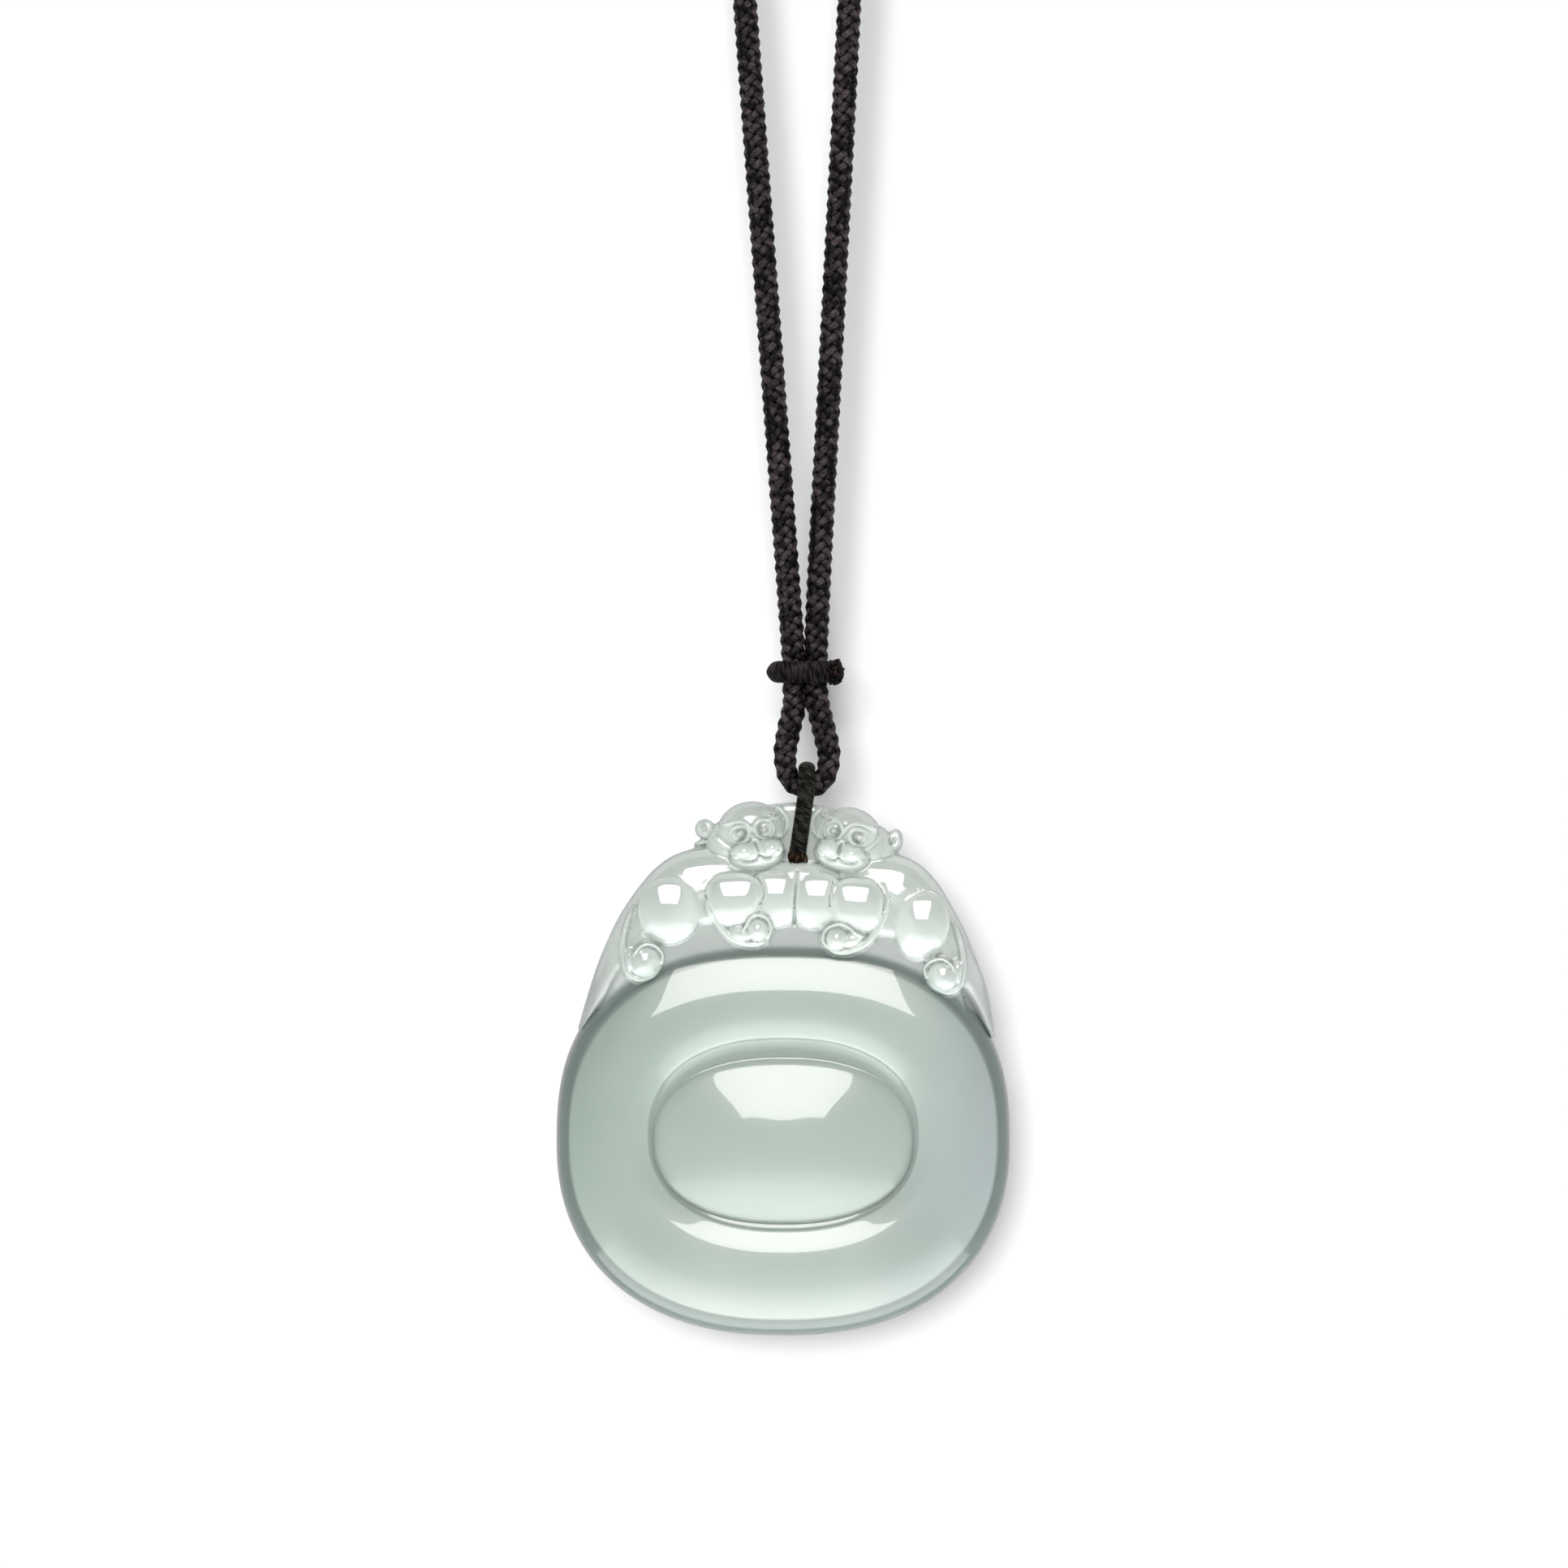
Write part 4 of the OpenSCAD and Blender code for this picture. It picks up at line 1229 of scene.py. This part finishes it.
# %% Riding
for piece, body, node, slot in [
    (cord_low, "cord", "neck_cord", "braided_cord"),
    (cord_high, "cord", "neck_cord", "braided_cord"),
    (sleeve, "cord", "cord_join", "wound_thread"),
    (keeper, "cord", "keeper", "wound_thread"),
    (keeper_ends, "cord", "keeper", "wound_thread"),
    (bail, "pendant", "bail", "wound_thread"),
    (bail_fringe, "pendant", "bail", "wound_thread"),
    (disc, "pendant", "jade_pendant", "jade"),
]:
    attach(piece, body)
    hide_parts(node)

# %% [markdown]
# ## Stage
# A white sheet hangs behind the necklace and rolls forward into a floor. The pendant
# needs room to swing, so the sheet hangs a little behind it. Seen from behind, the sheet
# is clear, so that the back of the necklace can be looked at too.

# %% Stage
WALL_Y = 0.078
WALL_TOP = 1.6
FLOOR_Z = -0.72
FLOOR_FRONT = -4.0
BEND_R = 0.3
BEND_STEPS = 12
SHEET_HALF_W = 3

profile = [(WALL_Y, WALL_TOP)]
for step in range(BEND_STEPS + 1):
    angle = math.radians(90 * step / BEND_STEPS)
    profile.append((WALL_Y - BEND_R + BEND_R * math.cos(angle),
                    FLOOR_Z + BEND_R - BEND_R * math.sin(angle)))
profile.append((FLOOR_FRONT, FLOOR_Z))
points = [(x, y, z) for y, z in profile for x in (-SHEET_HALF_W, SHEET_HALF_W)]
faces = [(2 * i, 2 * i + 2, 2 * i + 3, 2 * i + 1) for i in range(len(profile) - 1)]
backdrop = add_mesh("backdrop", points, faces)
backdrop.data.shade_smooth()
backdrop.visible_glossy = False
print("the sheet faces", [round(v) for v in backdrop.data.polygons[0].normal])

paper = bpy.data.materials.new("paper")
sheet = Nodes(paper)
white = sheet.node("BsdfDiffuse", values={"Color": (0.92, 0.92, 0.92, 1)})
sheet.done("Material", sheet.node("MixShader", values={
    0: sheet.node("NewGeometry", out="Backfacing"), 1: white,
    2: sheet.node("BsdfTransparent")}))
backdrop.data.materials.append(paper)

# %% [markdown]
# ## Lights
# The highlights tell of two lights: a softbox above and in front, whose reflection is
# the bright shape on each rounded form, and a low card whose reflection lies along the
# lower half of the ring. A lamp has to stand where the stone mirrors it in the right
# spot, so a rectangular light is given by the middle points of its lower and upper edge.
# Far lights give the soft shadow. Light linking says which pieces a lamp reaches.

# %% Lamps
EDGE_GLOW = 0.25
SUN_SPREAD = 4.4
SUN_DOWN = 1.9
SUN_ASIDE = 1.15


def area_light(name, low_edge, high_edge, width, radiance):
    """A rectangular light from its lower and upper edge's middle points."""
    low, high = Vector(low_edge), Vector(high_edge)
    up = (high - low).normalized()
    middle = (low + high) / 2
    side = Vector((1, 0, 0))
    facing = side.cross(up)
    if facing.dot(VIEW_MIDDLE - middle) < 0:
        side, facing = -side, -facing
    light = bpy.data.lights.new(name, "AREA")
    light.shape = "RECTANGLE"
    light.size, light.size_y = width, (high - low).length
    light.energy = radiance * math.pi * width * light.size_y
    lamp = bpy.data.objects.new(name, light)
    turn = Matrix((side, side.cross(facing), -facing)).transposed()
    lamp.matrix_world = Matrix.Translation(middle) @ turn.to_4x4()
    bpy.context.scene.collection.objects.link(lamp)
    lamp.visible_camera = False
    return lamp


def fade_in(lamp, share):
    """Starts a lamp faint at its far edge, and lets it grow over a share of its depth."""
    glow = Nodes(lamp.data)
    spot = glow.node("NewGeometry", out="Parametric")
    depth = glow.node("SeparateXYZ", values={0: spot}, out="Y")
    strength = glow.node("MapRange", {"interpolation_type": "SMOOTHSTEP"},
                         {"Value": depth, "From Min": 1, "From Max": 1 - share,
                          "To Min": EDGE_GLOW})
    glow.done("Light", glow.node("Emission", values={"Strength": strength}))


def sun_light(name, energy):
    """A far light from the front, turned down and to the side."""
    light = bpy.data.lights.new(name, "SUN")
    light.energy, light.angle = energy, math.radians(SUN_SPREAD)
    lamp = bpy.data.objects.new(name, light)
    lamp.rotation_euler = (math.radians(90 - SUN_DOWN), 0, math.radians(-SUN_ASIDE))
    lamp.visible_glossy = lamp.visible_transmission = False
    bpy.context.scene.collection.objects.link(lamp)
    return lamp


def light_only(lamp, pieces, state):
    """Makes a lamp light some pieces alone, or all but those pieces."""
    lit = bpy.data.collections.new(lamp.name + "_lights")
    for piece in pieces:
        lit.objects.link(piece)
    for member in lit.collection_objects:
        member.light_linking.link_state = state
    lamp.light_linking.receiver_collection = lit
    print(lamp.name, state.lower() + "s", [piece.name for piece in pieces])


# %% [markdown]
# ## Lamps and what they light
# The softbox skips the white sheet, which would burn out under it, and the two low cards
# light the stone alone. The two far lights shine the same way. One reaches the stone and
# the sheet, the other the sheet alone, and both leave the soft shadow on the sheet.

# %% Lights
softbox = area_light("softbox", (0, -1.6, 0.03), (0, -0.5, 0.43), width=0.55, radiance=5.6)
softbox.data.color = (1.0, 0.965, 0.95)
low_card = area_light("low_card", (0, -1.1, -0.68), (0, 0.05, -0.66), width=0.85, radiance=1.8)
fade_in(low_card, share=0.7)
shadow_sun = sun_light("shadow_sun", 1.45)
glow_card = area_light("glow_card", (0, -0.14, -0.66), (0, 0.05, -0.66), width=0.7, radiance=10)
glow_card.visible_glossy = False
sheet_sun = sun_light("sheet_sun", 1.14)

light_only(sheet_sun, [backdrop], "INCLUDE")
light_only(shadow_sun, [backdrop, disc], "INCLUDE")
light_only(softbox, [backdrop], "EXCLUDE")
light_only(low_card, [disc], "INCLUDE")
light_only(glow_card, [disc], "INCLUDE")

# %% [markdown]
# ## The room
# The world stands for the rest of the studio. The camera sees it nearly white, it lights
# the pieces only faintly, and what they mirror of it is brighter than what lights them.
# The Light Path node tells these kinds of ray apart.

# %% World
ROOM_LEVEL = 0.18
MIRRORED_LEVEL = 0.55
SEEN_WHITE = (0.93, 0.93, 0.93, 1)

world = bpy.data.worlds.new("room")
bpy.context.scene.world = world
room = Nodes(world)
level = room.node("MapRange", values={"Value": room.node("LightPath", out="Is Glossy Ray"),
                                      "To Min": ROOM_LEVEL, "To Max": MIRRORED_LEVEL})
dim = room.node("Background", values={"Color": (1, 1, 1, 1), "Strength": level})
pale = room.node("Background", values={"Color": SEEN_WHITE})
room.done("World", room.node("MixShader", values={
    0: room.node("LightPath", out="Is Camera Ray"), 1: dim, 2: pale}))
bpy.context.scene.view_settings.view_transform = "Standard"
